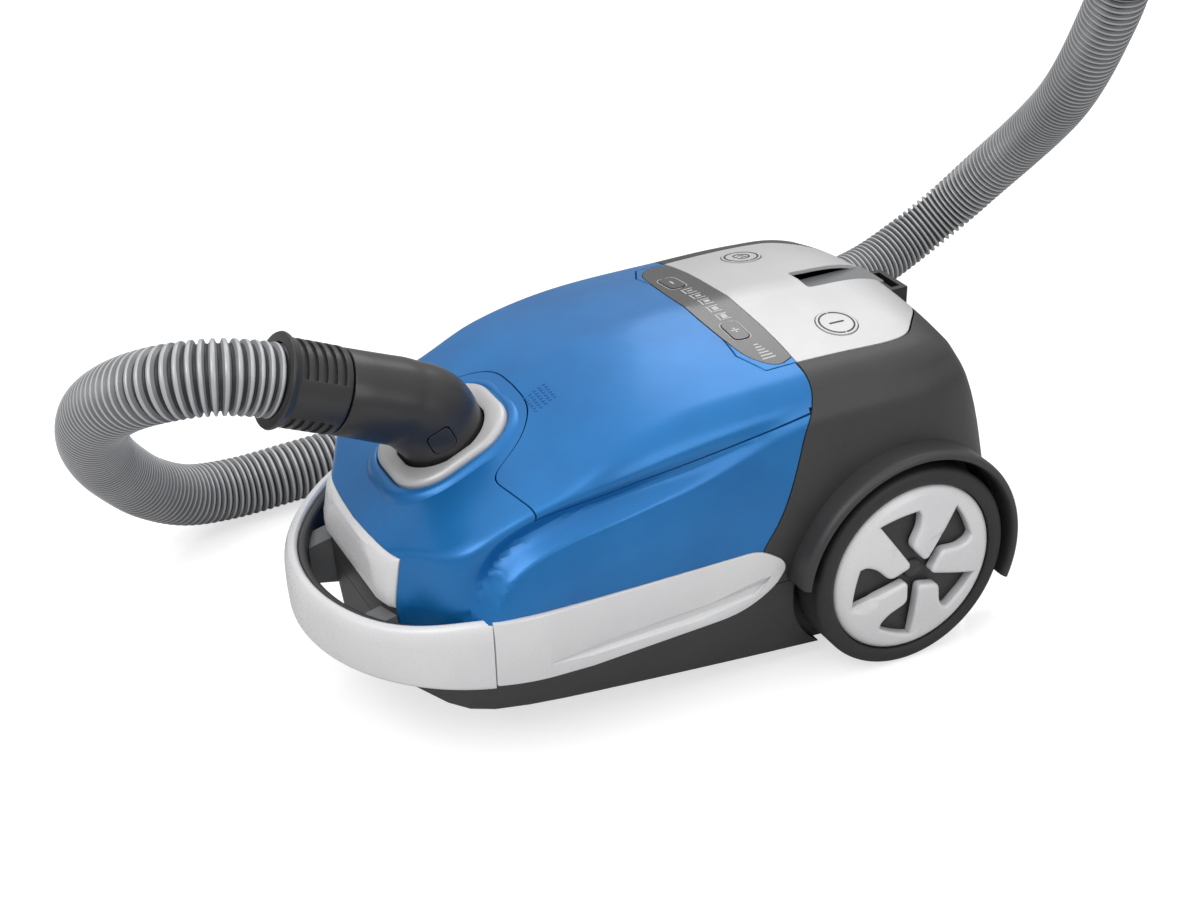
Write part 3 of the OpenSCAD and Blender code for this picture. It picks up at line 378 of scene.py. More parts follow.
def skin(name: str, rings: Sequence[Sequence[Sequence[float]]], closed: bool = False,
         caps: bool = True) -> bpy.types.Mesh:
    """Join rings of the same number of points into one skin.

    Args:
        name: The mesh's name.
        rings: Rings of points, each going the same way round.
        closed: Whether the last ring joins the first.
        caps: Whether the two ends are filled.

    Returns:
        The mesh.
    """
    n, m = len(rings[0]), len(rings)
    points = [p for ring in rings for p in ring]
    faces: list[tuple[int, ...]] = []
    for i in range(m if closed else m - 1):
        a, b = i * n, ((i + 1) % m) * n
        for j in range(n):
            k = (j + 1) % n
            faces.append((a + j, a + k, b + k, b + j))
    if caps and not closed:
        faces.append(tuple(range(n)))
        faces.append(tuple((m - 1) * n + j for j in reversed(range(n))))
    return mesh_of(name, points, faces)


def prism(name: str, outline: Sequence[Flat], low: float, high: float,
          place: Callable[[float, float, float], Point]) -> bpy.types.Mesh:
    """Extrude a flat outline between two heights and map it into the frame.

    Args:
        name: The mesh's name.
        outline: Points of the outline, in millimetres.
        low: First height, in millimetres.
        high: Second height, in millimetres.
        place: Turns the two outline values and the height into a point in millimetres.

    Returns:
        The mesh.
    """
    n = len(outline)
    points = [place(a, b, h) for h in (low, high) for a, b in outline]
    faces = [tuple(range(n)), tuple(range(2 * n - 1, n - 1, -1))]
    faces += [(i, (i + 1) % n, n + (i + 1) % n, n + i) for i in range(n)]
    return mesh_of(name, [(x * MM, y * MM, z * MM) for x, y, z in points], faces)


def across(y: float, z: float, x: float) -> Point:
    """Place an outline of the side view."""
    return (x, y, z)


def upward(x: float, y: float, z: float) -> Point:
    """Place an outline of the plan."""
    return (x, y, z)


def cylinder(name: str, centre: Point, axis: Point, radius: float, low: float, high: float,
             sides: int = 64, radius_2: Optional[float] = None) -> bpy.types.Mesh:
    """Make a cylinder or cone about an axis, with sizes in millimetres."""
    w = Vector(axis).normalized()
    u = w.orthogonal().normalized()
    v = w.cross(u)
    c = Vector(centre)
    rings = []
    for h, r in ((low, radius), (high, radius if radius_2 is None else radius_2)):
        rings.append([
            (c + w * h + (u * math.cos(t) + v * math.sin(t)) * r) * MM
            for t in (2 * math.pi * k / sides for k in range(sides))])
    return skin(name, rings)


def rounded(outline: Sequence[Flat], radius: float | Sequence[float], steps: int = 5) -> list[Flat]:
    """Round the corners of a closed outline.

    Args:
        outline: Corner points.
        radius: How far before and after each corner the rounding starts, one value or one a corner.
        steps: Points on each corner.

    Returns:
        The rounded outline.
    """
    n = len(outline)
    out: list[Flat] = []
    for i, (x, y) in enumerate(outline):
        px, py = outline[i - 1]
        qx, qy = outline[(i + 1) % n]
        r = radius if isinstance(radius, (int, float)) else radius[i]
        a, b = math.hypot(px - x, py - y), math.hypot(qx - x, qy - y)
        if r <= 0 or a == 0 or b == 0:
            out.append((x, y))
            continue
        ta, tb = min(r, 0.48 * a) / a, min(r, 0.48 * b) / b
        ax, ay, bx, by = x + (px - x) * ta, y + (py - y) * ta, x + (qx - x) * tb, y + (qy - y) * tb
        for k in range(steps + 1):
            t = k / steps
            out.append(((1 - t) ** 2 * ax + 2 * t * (1 - t) * x + t * t * bx,
                        (1 - t) ** 2 * ay + 2 * t * (1 - t) * y + t * t * by))
    return out


def apply_modifiers(obj: bpy.types.Object) -> None:
    """Make the result of an object's modifiers its own mesh."""
    graph = bpy.context.evaluated_depsgraph_get()
    result = bpy.data.meshes.new_from_object(obj.evaluated_get(graph))
    obj.modifiers.clear()
    obj.data = result


def combine(obj: bpy.types.Object, tool: bpy.types.Mesh | bpy.types.Object, operation: str) -> None:
    """Cut or intersect an object with a tool and apply the result.

    Args:
        obj: The object that changes.
        tool: A mesh or an object to work with, used up.
        operation: DIFFERENCE or INTERSECT.
    """
    cutter = tool if isinstance(tool, bpy.types.Object) else bpy.data.objects.new("tool", tool)
    if cutter.name not in bpy.context.scene.collection.objects:
        bpy.context.scene.collection.objects.link(cutter)
    mod = obj.modifiers.new("cut", "BOOLEAN")
    mod.operation = operation
    mod.solver = "MANIFOLD"
    mod.object = cutter
    old = obj.data
    apply_modifiers(obj)
    bpy.data.meshes.remove(old)
    bpy.data.objects.remove(cutter)


def bevel(obj: bpy.types.Object, width: float, segments: int = 2, angle: float = 40.0) -> None:
    """Round the sharp edges of an object for good, width in millimetres."""
    mod = obj.modifiers.new("round", "BEVEL")
    mod.width = width * MM
    mod.segments = segments
    mod.limit_method = "ANGLE"
    mod.angle_limit = math.radians(angle)
    mod.use_clamp_overlap = True
    apply_modifiers(obj)
    smooth(obj, 38.0)


def blend_curve(stops: Sequence[Flat], at: float) -> float:
    """Read a smooth curve through a few control points.

    Args:
        stops: Control points, in rising order of the first value.
        at: Where to read it.

    Returns:
        The curve's value there.
    """
    def slope(i: int) -> float:
        """Return the slope at one control point."""
        lo, hi = max(0, i - 1), min(len(stops) - 1, i + 1)
        return (stops[hi][1] - stops[lo][1]) / (stops[hi][0] - stops[lo][0])

    i = max([k for k in range(len(stops) - 1) if at >= stops[k][0] or k == 0])
    h = stops[i + 1][0] - stops[i][0]
    t = min(1.0, max(0.0, (at - stops[i][0]) / h))
    a, b = slope(i) * h, slope(i + 1) * h
    return ((2 * t**3 - 3 * t**2 + 1) * stops[i][1] + (t**3 - 2 * t**2 + t) * a
            + (3 * t**2 - 2 * t**3) * stops[i + 1][1] + (t**3 - t**2) * b)


def ramp(value: float, low: float, high: float) -> float:
    """Return a smooth step from 0 at low to 1 at high."""
    t = min(1.0, max(0.0, (value - low) / (high - low)))
    return t * t * (3 - 2 * t)


# ---------------------------------------------------------------- body surface


@dataclass
class BodySurface:
    """The outside of the machine's body as one smooth skin, in millimetres."""

    length: float = 480.0
    half_width: float = 124.0
    height: float = 217.0
    wall: float = 2.6
    tuck_z: float = 62.0
    belt_z: float = 107.0
    crown: list[Flat] = field(init=False, default_factory=list)
    plan: list[Flat] = field(init=False, default_factory=list)

    def __post_init__(self) -> None:
        """Work out the two outline curves from the sizes."""
        h, w = self.height, self.half_width
        nose, tail, panel, axle = self.nose_y, self.tail_y, self.panel_y, self.axle_y
        self.crown = [
            (nose, h - 89), (nose + 34, h - 62), (nose + 64, h - 47), (nose + 94, h - 34),
            (nose + 130, h - 16), (nose + 180, h - 4), (panel - 25, h), (panel + 60, h),
            (tail - 46, h - 6), (tail - 34, h - 22), (tail - 16, h - 80), (tail, h - 150)]
        self.plan = [
            (nose, w - 79), (nose + 4, w - 64), (nose + 12, w - 48), (nose + 24, w - 24),
            (nose + 34, w - 13), (nose + 48, w - 7), (nose + 80, w - 3), (nose + 150, w - 1),
            (axle - 60, w), (axle + 20, w), (tail - 40, w - 8), (tail - 14, w - 22), (tail, w - 40)]

    @property
    def nose_y(self) -> float:
        """Front of the body."""
        return -self.length / 2 + 40

    @property
    def tail_y(self) -> float:
        """Back of the body."""
        return self.length / 2 - 24

    @property
    def axle_y(self) -> float:
        """Line of the rear axles."""
        return self.length / 2 - 118

    @property
    def panel_y(self) -> float:
        """Front edge of the control panel."""
        return self.axle_y - 57

    def under_z(self, y: float) -> float:
        """Return the height of the underside."""
        return max(10.0, 17.6 - 0.095 * y)

    def corners(self, y: float, inset: float) -> list[Flat]:
        """Return the corners of the right half of one cross-section, from the crown down."""
        w, t = blend_curve(self.plan, y), blend_curve(self.crown, y)
        s = (t - self.tuck_z) / (self.height - self.tuck_z)
        along = min(1.0, max(0.0, (y - self.nose_y) / (self.panel_y - self.nose_y)))
        shoulder = 12 + 12 * along
        drop = 14 * s * w / self.half_width
        crease = t - drop
        lip, flank = crease - 15 * s, crease - 62 * s
        return [
            (0, t - inset), (0.55 * (w - shoulder), t - 0.3 * drop - inset),
            (w - shoulder - 0.4 * inset, crease - inset), (w - 8 - 0.8 * inset, lip - 0.6 * inset),
            (w - inset, flank), (w - inset, min(self.belt_z, flank - 6)), (w - 6 - inset, self.tuck_z),
            (w - 18 - inset, self.under_z(y) + inset), (0, self.under_z(y) + inset)]

    def scoop(self, y: float, z: float) -> float:
        """Return how deep the swept hollow in the flank is at a place on it."""
        low = blend_curve([(-204, 76), (-178, 82), (-166, 96), (-156, 116), (-143, 134),
                           (-115, 148), (-57, 160), (-23, 166), (17, 176), (60, 186)], y)
        high = blend_curve([(-204, 122), (-188, 136), (-169, 147), (-150, 152),
                            (-116, 161), (-60, 172), (0, 182), (60, 190)], y)
        reach = 12.5 * ramp(y, -199, -182) * (1 - 0.88 * ramp(y, -150, 45))
        if z <= low - 5 or z >= high + 8:
            return 0.0
        rise = ramp(z, low - 5, low + 6)
        fall = 1 - ramp(z, low + 5, high + 8)
        return reach * rise * fall

    def section(self, y: float, inset: float) -> list[Flat]:
        """Return one closed cross-section, rounded along its creases."""
        corners = self.corners(y, inset)
        soft = [0, 26, 9, 9, 22, 8, 7, 8, 0]
        half: list[Flat] = []
        for i, (x, z) in enumerate(corners):
            if i in (0, len(corners) - 1):
                half.append((x, z))
                continue
            (px, pz), (qx, qz) = corners[i - 1], corners[i + 1]
            a, b = math.hypot(px - x, pz - z), math.hypot(qx - x, qz - z)
            ta, tb = min(soft[i], 0.45 * a) / a, min(soft[i], 0.45 * b) / b
            first = (x + (px - x) * ta, z + (pz - z) * ta)
            last = (x + (qx - x) * tb, z + (qz - z) * tb)
            bx, bz = half[-1]
            inner = {3: 12, 4: 30, 5: 24, 6: 10}.get(i, 3)
            half += [(bx + (first[0] - bx) * k / inner, bz + (first[1] - bz) * k / inner)
                     for k in range(1, inner)]
            for k in range(7):
                t = k / 6
                half.append(((1 - t) ** 2 * first[0] + 2 * t * (1 - t) * x + t * t * last[0],
                             (1 - t) ** 2 * first[1] + 2 * t * (1 - t) * z + t * t * last[1]))
        # The inside takes the deepest hollow near each place, so that the skin never thins to nothing.
        around = [(-5, 0), (5, 0), (0, -4), (0, 4), (0, 0), (-3, -3), (3, 3)] if inset > 0 else [(0, 0)]
        half = [(x - max(self.scoop(y + a, z + b) for a, b in around), z) if x > 40 else (x, z)
                for x, z in half]
        return half + [(-x, z) for x, z in half[-2:0:-1]]

    def stations(self, inset: float) -> list[float]:
        """Return the places along the body where a section is taken."""
        a, b = self.nose_y + inset, self.tail_y - inset
        ends = [0, 0.6, 1.4, 2.4, 4, 6, 8, 10, 12, 15, 18, 21, 24, 28, 32, 36, 40, 44, 48]
        middle = [a + 48 + (b - a - 98) * k / 84 for k in range(1, 84)]
        return [a + e for e in ends] + middle + [b - e for e in reversed(ends)]

    def solid(self, name: str, inset: float = 0.0) -> bpy.types.Mesh:
        """Return the closed body, its outside moved in by the given amount."""
        rings = [[(x * MM, y * MM, z * MM) for x, z in self.section(y, inset)] for y in self.stations(inset)]
        return skin(name, rings)

    def hollow(self, name: str, finish: Finish) -> bpy.types.Object:
        """Return the hollow skin of the whole body as an object."""
        obj = new_object(name, self.solid(name), finish)
        combine(obj, self.solid(name + "_core", self.wall), "DIFFERENCE")
        return obj


# ---------------------------------------------------------------- shells


@dataclass
class Shells:
    """The outer shells, parted from one hollow body along the machine's seams."""

    surface: BodySurface
    seam: float = 0.9
    split_z: float = 76.0
    collar_y: float = -136.0
    collar_z: float = 169.0
    tilt: float = 24.0
    hinge_y: float = 57.0
    hinge_z: float = 197.0
    hinge_r: float = 27.4

    def on_collar(self, x: float, y: float, z: float) -> Point:
        """Map a point of the inlet's own frame into the machine's, in millimetres."""
        c, s = math.cos(math.radians(self.tilt)), math.sin(math.radians(self.tilt))
        return (x, self.collar_y + y * c - z * s, self.collar_z + y * s + z * c)

    def side(self, name: str, outline: Sequence[Flat], half: float = 260.0) -> bpy.types.Mesh:
        """Return a prism of the side view that runs right across the body."""
        return prism(name, outline, -half, half, across)

    def rear_seam(self, d: float) -> list[Flat]:
        """Return the seam between front shell and rear housing, from the top down."""
        p, h = self.surface.panel_y, self.surface.height
        return rounded([(p + d, h + 60), (p + d, h - 11), (p - 5 + d, h - 27), (p - 13 + d, h - 38),
                        (p - 22 + d, 152), (p - 33 + d, 124), (p - 45 + d, 107), (p - 52 + d, self.split_z)],
                       [0, 9, 8, 8, 14, 14, 10, 0])

    def lid_plan(self, gap: float) -> list[Flat]:
        """Return the plan of the lid with its notch round the inlet, grown by the given gap."""
        f, n, r = -116.0, -101.0, self.hinge_y + 7.4
        right = [(133 + gap, r + gap), (133 + gap, f - gap), (62, f - 15 - gap), (45, n - gap),
                 (26, n + 13 - gap)]
        return rounded(right + [(-x, y) for x, y in right[::-1]], [0, 0, 9, 12, 14, 14, 12, 9, 0, 0])

    def lid_side(self, gap: float) -> list[Flat]:
        """Return the side view of the lid's region, lowered by the given gap."""
        h, f = self.surface.height, -116.0
        return [(-240, h + 60), (64 + gap, h + 60), (64 + gap, h - 29 - gap), (f + 56, h - 46 - gap),
                (f - 2, h - 56.5 - gap), (f - 14, h - 60 - gap), (-240, h - 80 - gap)]

    def lid_region(self, name: str, gap: float) -> bpy.types.Object:
        """Return the solid that holds the lid, grown by the given gap."""
        obj = bpy.data.objects.new(name, self.side(name + "_side", self.lid_side(gap)))
        bpy.context.scene.collection.objects.link(obj)
        combine(obj, prism(name + "_plan", self.lid_plan(gap), -10, 320, upward), "INTERSECT")
        return obj

    def panel_plan(self, gap: float) -> list[Flat]:
        """Return the plan of the control panel, grown by the given gap."""
        p, r, hp = self.surface.panel_y, self.surface.tail_y - 40, 84.5 + gap
        right = [(hp, p - gap), (hp + 2.5, p + 64), (hp - 1, p + 82 + gap), (58 + gap, r - 7 + gap),
                 (44, r + gap)]
        return rounded(right + [(-x, y) for x, y in right[::-1]], [1, 20, 8, 6, 4, 4, 6, 8, 20, 1])

    def window_plan(self, gap: float) -> list[Flat]:
        """Return the plan of the display window, grown by the given gap."""
        p = self.surface.panel_y
        right = [(78.5 + gap, p + 0.2 + gap), (84 + gap, p - 13), (70, p - 26 - gap), (45, p - 30 - gap),
                 (0, p - 31.5 - gap)]
        return rounded(right + [(-x, y) for x, y in right[-2::-1]], [2, 11, 10, 20, 30, 20, 10, 11, 2], 7)

    def collar_plan(self, grow: float) -> list[Flat]:
        """Return the outline of the inlet's collar, in the collar's own plane."""
        r = 30 + grow
        out: list[Flat] = []
        for cx, cy, start in ((10, 12, 0), (-10, 12, 90), (-10, -12, 180), (10, -12, 270)):
            for k in range(13):
                t = math.radians(start + 90 * k / 12)
                out.append((cx + r * math.cos(t), cy + r * math.sin(t)))
        return out

    def collar_prism(self, name: str, grow: float, low: float, high: float) -> bpy.types.Mesh:
        """Return a prism of the collar's outline, along the inlet's own axis."""
        return prism(name, self.collar_plan(grow), low, high, self.on_collar)

    def trim_outline(self, grow: float) -> list[Flat]:
        """Return the outline of a side trim in the side view."""
        j, p, g = self.surface.nose_y + 43, self.surface.panel_y, grow
        front = j - 20 * (g > 0)
        return rounded([(front, 63 - g), (j + 60, 61 - g), (p - 60, 65 - g), (p - 36 + g, 77 - g),
                        (p - 28 + g, 89), (p - 30 + g, 95), (p - 47 + g, 107 + g), (front, 107 + g)],
                       [0, 0, 16, 12, 4, 5, 9, 0])

    def part(self, name: str, region: bpy.types.Mesh | bpy.types.Object, finish: Finish,
             cuts: Iterable[bpy.types.Mesh | bpy.types.Object], body: str) -> bpy.types.Object:
        """Part one shell from the hollow body.

        Args:
            name: The piece's name.
            region: The solid that bounds it.
            finish: Its finish.
            cuts: Solids taken out of it.
            body: The moving body it rides on.

        Returns:
            The shell.
        """
        obj = self.surface.hollow(name, finish)
        combine(obj, region, "INTERSECT")
        for cut in cuts:
            combine(obj, cut, "DIFFERENCE")
        refinish(obj, finish, 30)
        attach(obj, body)
        LOG.info("%s: %d faces", name, len(obj.data.polygons))
        return obj

    def wheel_room(self, s: int, grow: float) -> bpy.types.Mesh:
        """Return the round well of one rear wheel."""
        return cylinder(f"well_{s}", (s * (100 - grow), 122, 70), (s, 0, 0), 76 + grow, 0, 80, 96)

    def latch_room(self) -> bpy.types.Mesh:
        """Return the room for the latch lever in the nose."""
        outline = [(-59.6, -225), (59.6, -225), (59.6, -176), (-59.6, -176)]
        return prism("latch_room", outline, 70, 129.6, upward)

    def panel_room(self, name: str, gap: float = 0.8) -> bpy.types.Mesh:
        """Return the room for the control panel, down to the parting line."""
        return prism(name, self.panel_plan(gap), self.split_z, 300, upward)

    def window_room(self, name: str, gap: float = 0.8) -> bpy.types.Mesh:
        """Return the room for the display window, down to the parting line."""
        return prism(name, self.window_plan(gap), self.split_z, 300, upward)

    def trim_rooms(self) -> list[bpy.types.Mesh]:
        """Return the rooms for the two side trims."""
        return [prism(f"trim_room_{k}", self.trim_outline(0.5), k * 118, k * 160, across) for k in (-1, 1)]

    def build(self) -> None:
        """Build every shell in its place."""
        self.build_front()
        self.build_lid()
        self.build_nose()
        self.build_panel()
        self.build_window()
        self.build_rear()
        self.build_grille()

    def build_front(self) -> None:
        """Build the blue front shell."""
        h, g = self.surface.height, self.seam / 2
        front = self.side("front_side", [(-280, h + 60)] + self.rear_seam(-g) + [(-280, self.split_z)])
        shell = self.part("front_cover", front, BLUE_SHELL, [
            self.lid_region("lid_room", g), self.panel_room("panel_room"), self.window_room("window_room"),
            self.collar_prism("collar_room", -1.2, -30, 30), self.latch_room(), *self.trim_rooms()], "body")
        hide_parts("front_shell")

    def build_lid(self) -> None:
        """Build the lid, hollowed out round the cover of its hinge."""
        h, g = self.surface.height, self.seam / 2
        pivot = (0, self.hinge_y, self.hinge_z)
        hinge = cylinder("hinge_room", pivot, (1, 0, 0), self.hinge_r, -66, 66)
        cones = [cylinder(f"hinge_cone_{k}", pivot, (k, 0, 0), self.hinge_r, 65.9, 85.2, 64, 17.0)
                 for k in (-1, 1)]
        lid = self.part("bag_lid", self.lid_region("lid_solid", -g), BLUE_SHELL, [
            hinge, *cones, self.window_room("window_room_2"), self.panel_room("panel_room_3"),
            prism("lid_back", [(-140, 57), (140, 57), (140, 120), (-140, 120)], 0, 190, upward),
            self.side("behind_lid", [(280, h + 60)] + self.rear_seam(-g) + [(280, self.split_z)])], "lid")
        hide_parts("lid")

    def build_nose(self) -> None:
        """Build the charcoal plate under the latch, a dark sheet standing in as painted shadow, and the round
        cover of the lid's hinge.
        """
        # The plate under the latch is dark to stand for the deep shadow there: painted shadow.
        nose = prism("nose_solid", [(-59.4, -225), (59.4, -225), (59.4, -176.2), (-59.4, -176.2)],
                     self.split_z, 96.2, upward)
        plate = self.part("nose_plate", nose, CHARCOAL, [], "body")
        spool = [(-84.4, 16.4), (-65.4, 26.5), (65.4, 26.5), (84.4, 16.4)]
        turn = [2 * math.pi * k / 64 for k in range(64)]
        rings = [[(x * MM, (self.hinge_y + r * math.cos(t)) * MM, (self.hinge_z + r * math.sin(t)) * MM)
                  for t in turn] for x, r in spool]
        cover = self.part("hinge_cover", skin("hinge_spool", rings), BLUE_SHELL, [
            self.window_room("window_room_4", 0.5), self.panel_room("panel_room_4", 0.5)], "body")

    def build_panel(self) -> None:
        """Build the silver control panel with its rooms for the pedals and the grip recess."""
        h = self.surface.height
        grip = rounded([(-13, 118), (13, 118), (13, 190), (-13, 190)], [3, 3, 0, 0])
        cuts = [cylinder(f"pedal_room_{k}", (k * 59, 110, 180), (0, 0, 1), 13.9, 0, 60) for k in (-1, 1)]
        cuts.append(prism("grip_room", grip, h - 9, h + 30, upward))
        solid = prism("panel_solid", self.panel_plan(0), h - 60, h + 60, upward)
        panel = self.part("control_panel", solid, SILVER_PANEL, cuts, "body")
        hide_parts("top_panel")

    def build_window(self) -> None:
        """Build the smoked display window with its rooms for the two pads."""
        h = self.surface.height
        cuts = [prism("panel_edge", self.panel_plan(0.4), 0, 300, upward)]
        for k in (-1, 1):
            low, high = k * 41 - 10.9, k * 41 + 10.9
            room = [(low, 41.1), (high, 41.1), (high, 52.9), (low, 52.9)]
            cuts.append(prism(f"pad_room_{k}", rounded(room, 4.9, 6), 0, 300, upward))
        solid = prism("window_solid", self.window_plan(0), h - 60, h + 60, upward)
        window = self.part("display", solid, SMOKED, cuts, "body")
        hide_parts("display_window")

    def build_rear(self) -> None:
        """Build the dark rear housing, open for the wheels, the panel, the grille and the trims."""
        h, g = self.surface.height, self.seam / 2
        rear = self.side("rear_side", [(280, h + 60)] + self.rear_seam(g) + [(280, self.split_z)])
        housing = self.part("rear_cover", rear, CHARCOAL, [
            self.wheel_room(1, 1.3), self.wheel_room(-1, 1.3), self.panel_room("panel_room_2"),
            prism("grille_room", [(-78.6, 156), (78.6, 156), (78.6, 276), (-78.6, 276)], 85.4, 150.6, upward),
            *self.trim_rooms()], "body")
        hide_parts("rear_housing")

    def build_grille(self) -> None:
        """Build the exhaust grille with its seven slots."""
        slots = []
        for k in range(7):
            low = 95 + k * 7
            slot = rounded([(-66, low), (66, low), (66, low + 3.4), (-66, low + 3.4)], 1.6)
            slots.append(prism(f"grille_slot_{k}", slot, 150, 260, lambda x, z, y: (x, y, z)))
        solid = prism("grille_solid", [(-78, 166), (78, 166), (78, 276), (-78, 276)], 86, 150, upward)
        grille = self.part("exhaust_grille", solid, CHARCOAL, slots, "exhaust_grille")
        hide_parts("exhaust_cover")


# ---------------------------------------------------------------- hose, elbow and cuff


@dataclass
class SuctionHose:
    """The ribbed hose: out of the cuff, along the floor on the far side, up to the hand grip."""

    diameter: float = 45.0
    pitch: float = 5.4
    valley: float = 3.2
    sides: int = 40
    route: list[Point] = field(default_factory=lambda: [
        (0, -212, 222), (0, -245, 236), (-4, -272, 242), (-18, -298, 238), (-46, -316, 222),
        (-84, -325, 195), (-124, -324, 160), (-162, -314, 124), (-196, -298, 90), (-222, -276, 58),
        (-240, -246, 34), (-250, -208, 24), (-254, -165, 23), (-258, -110, 23), (-264, -50, 23),
        (-272, 10, 23), (-282, 70, 23), (-292, 130, 23), (-302, 190, 23), (-312, 250, 23),
        (-322, 305, 23), (-333, 360, 23), (-342, 410, 28), (-344, 455, 46), (-334, 490, 74),
        (-312, 510, 108), (-280, 518, 144), (-244, 514, 178), (-208, 502, 210), (-176, 490, 244),
        (-148, 480, 282), (-124, 472, 322), (-106, 464, 366)])
    length_m: float = field(init=False, default=0.0)
    path: list[Vector] = field(init=False, default_factory=list)
    tube: Optional[bpy.types.Object] = field(init=False, default=None)

    def line(self) -> list[Vector]:
        """Return the smooth centreline, in millimetres, at even steps of a sixth of a ridge."""
        p = [Vector(q) for q in self.route]
        dense: list[Vector] = []
        for i in range(len(p) - 1):
            a, b, c, d = p[max(0, i - 1)], p[i], p[i + 1], p[min(len(p) - 1, i + 2)]
            for k in range(24):
                t = k / 24
                dense.append(0.5 * ((2 * b) + (c - a) * t + (2 * a - 5 * b + 4 * c - d) * t * t
                                    + (3 * b - a - 3 * c + d) * t ** 3))
        dense.append(p[-1])
        step = self.pitch / 6
        even, carry = [dense[0]], 0.0
        for a, b in zip(dense, dense[1:]):
            span = (b - a).length
            while carry + span >= step:
                t = (step - carry) / span
                a = a + (b - a) * t
                even.append(a.copy())
                span = (b - a).length
                carry = 0.0
            carry += span
        return even

    def build(self) -> bpy.types.Object:
        path = self.line()
        rings: list[list[Vector]] = []
        side: Optional[Vector] = None
        profile = [0.0, 0.15, 0.9, 1.0, 0.9, 0.15]
        for i, p in enumerate(path):
            t = (path[min(i + 1, len(path) - 1)] - path[max(i - 1, 0)]).normalized()
            if side is None:
                side = (Vector((1, 0, 0)) - t * t.x).normalized()
            else:
                side = (side - t * side.dot(t)).normalized()
            up = t.cross(side)
            r = self.diameter / 2 - self.valley * (1 - profile[i % 6])
            rings.append([(p + (side * math.cos(a) + up * math.sin(a)) * r) * MM
                          for a in (2 * math.pi * k / self.sides for k in range(self.sides))])
        obj = new_object("suction_hose", skin("suction_hose", rings), HOSE_RIDGE, sharp=80)
        # The valleys and flanks of each rib get darker copies of the silver: painted shadow in the valleys,
        # painted shade on the flanks.
        obj.data.materials.append(HOSE_VALLEY_PAINTED_SHADE.material())
        obj.data.materials.append(HOSE_FLANK_PAINTED_SHADE.material())
        n = self.sides
        for poly in obj.data.polygons[: (len(rings) - 1) * n]:
            ring = poly.index // n
            poly.material_index = {0: 1, 5: 1, 1: 2, 4: 2}.get(ring % 6, 0)
        length = sum((b - a).length for a, b in zip(path, path[1:])) * MM
        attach(obj, "body")
        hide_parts("hose")
        LOG.info("suction_hose: %.3f m long", length)
        self.length_m, self.path, self.tube = length, path, obj
        return obj

    def declare(self) -> None:
        """Take every sixth point of the hose's centreline, in metres; the points are not kept."""
        points = [tuple(q * MM) for q in self.path[::6]] + [tuple(self.path[-1] * MM)]
        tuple(points[0])


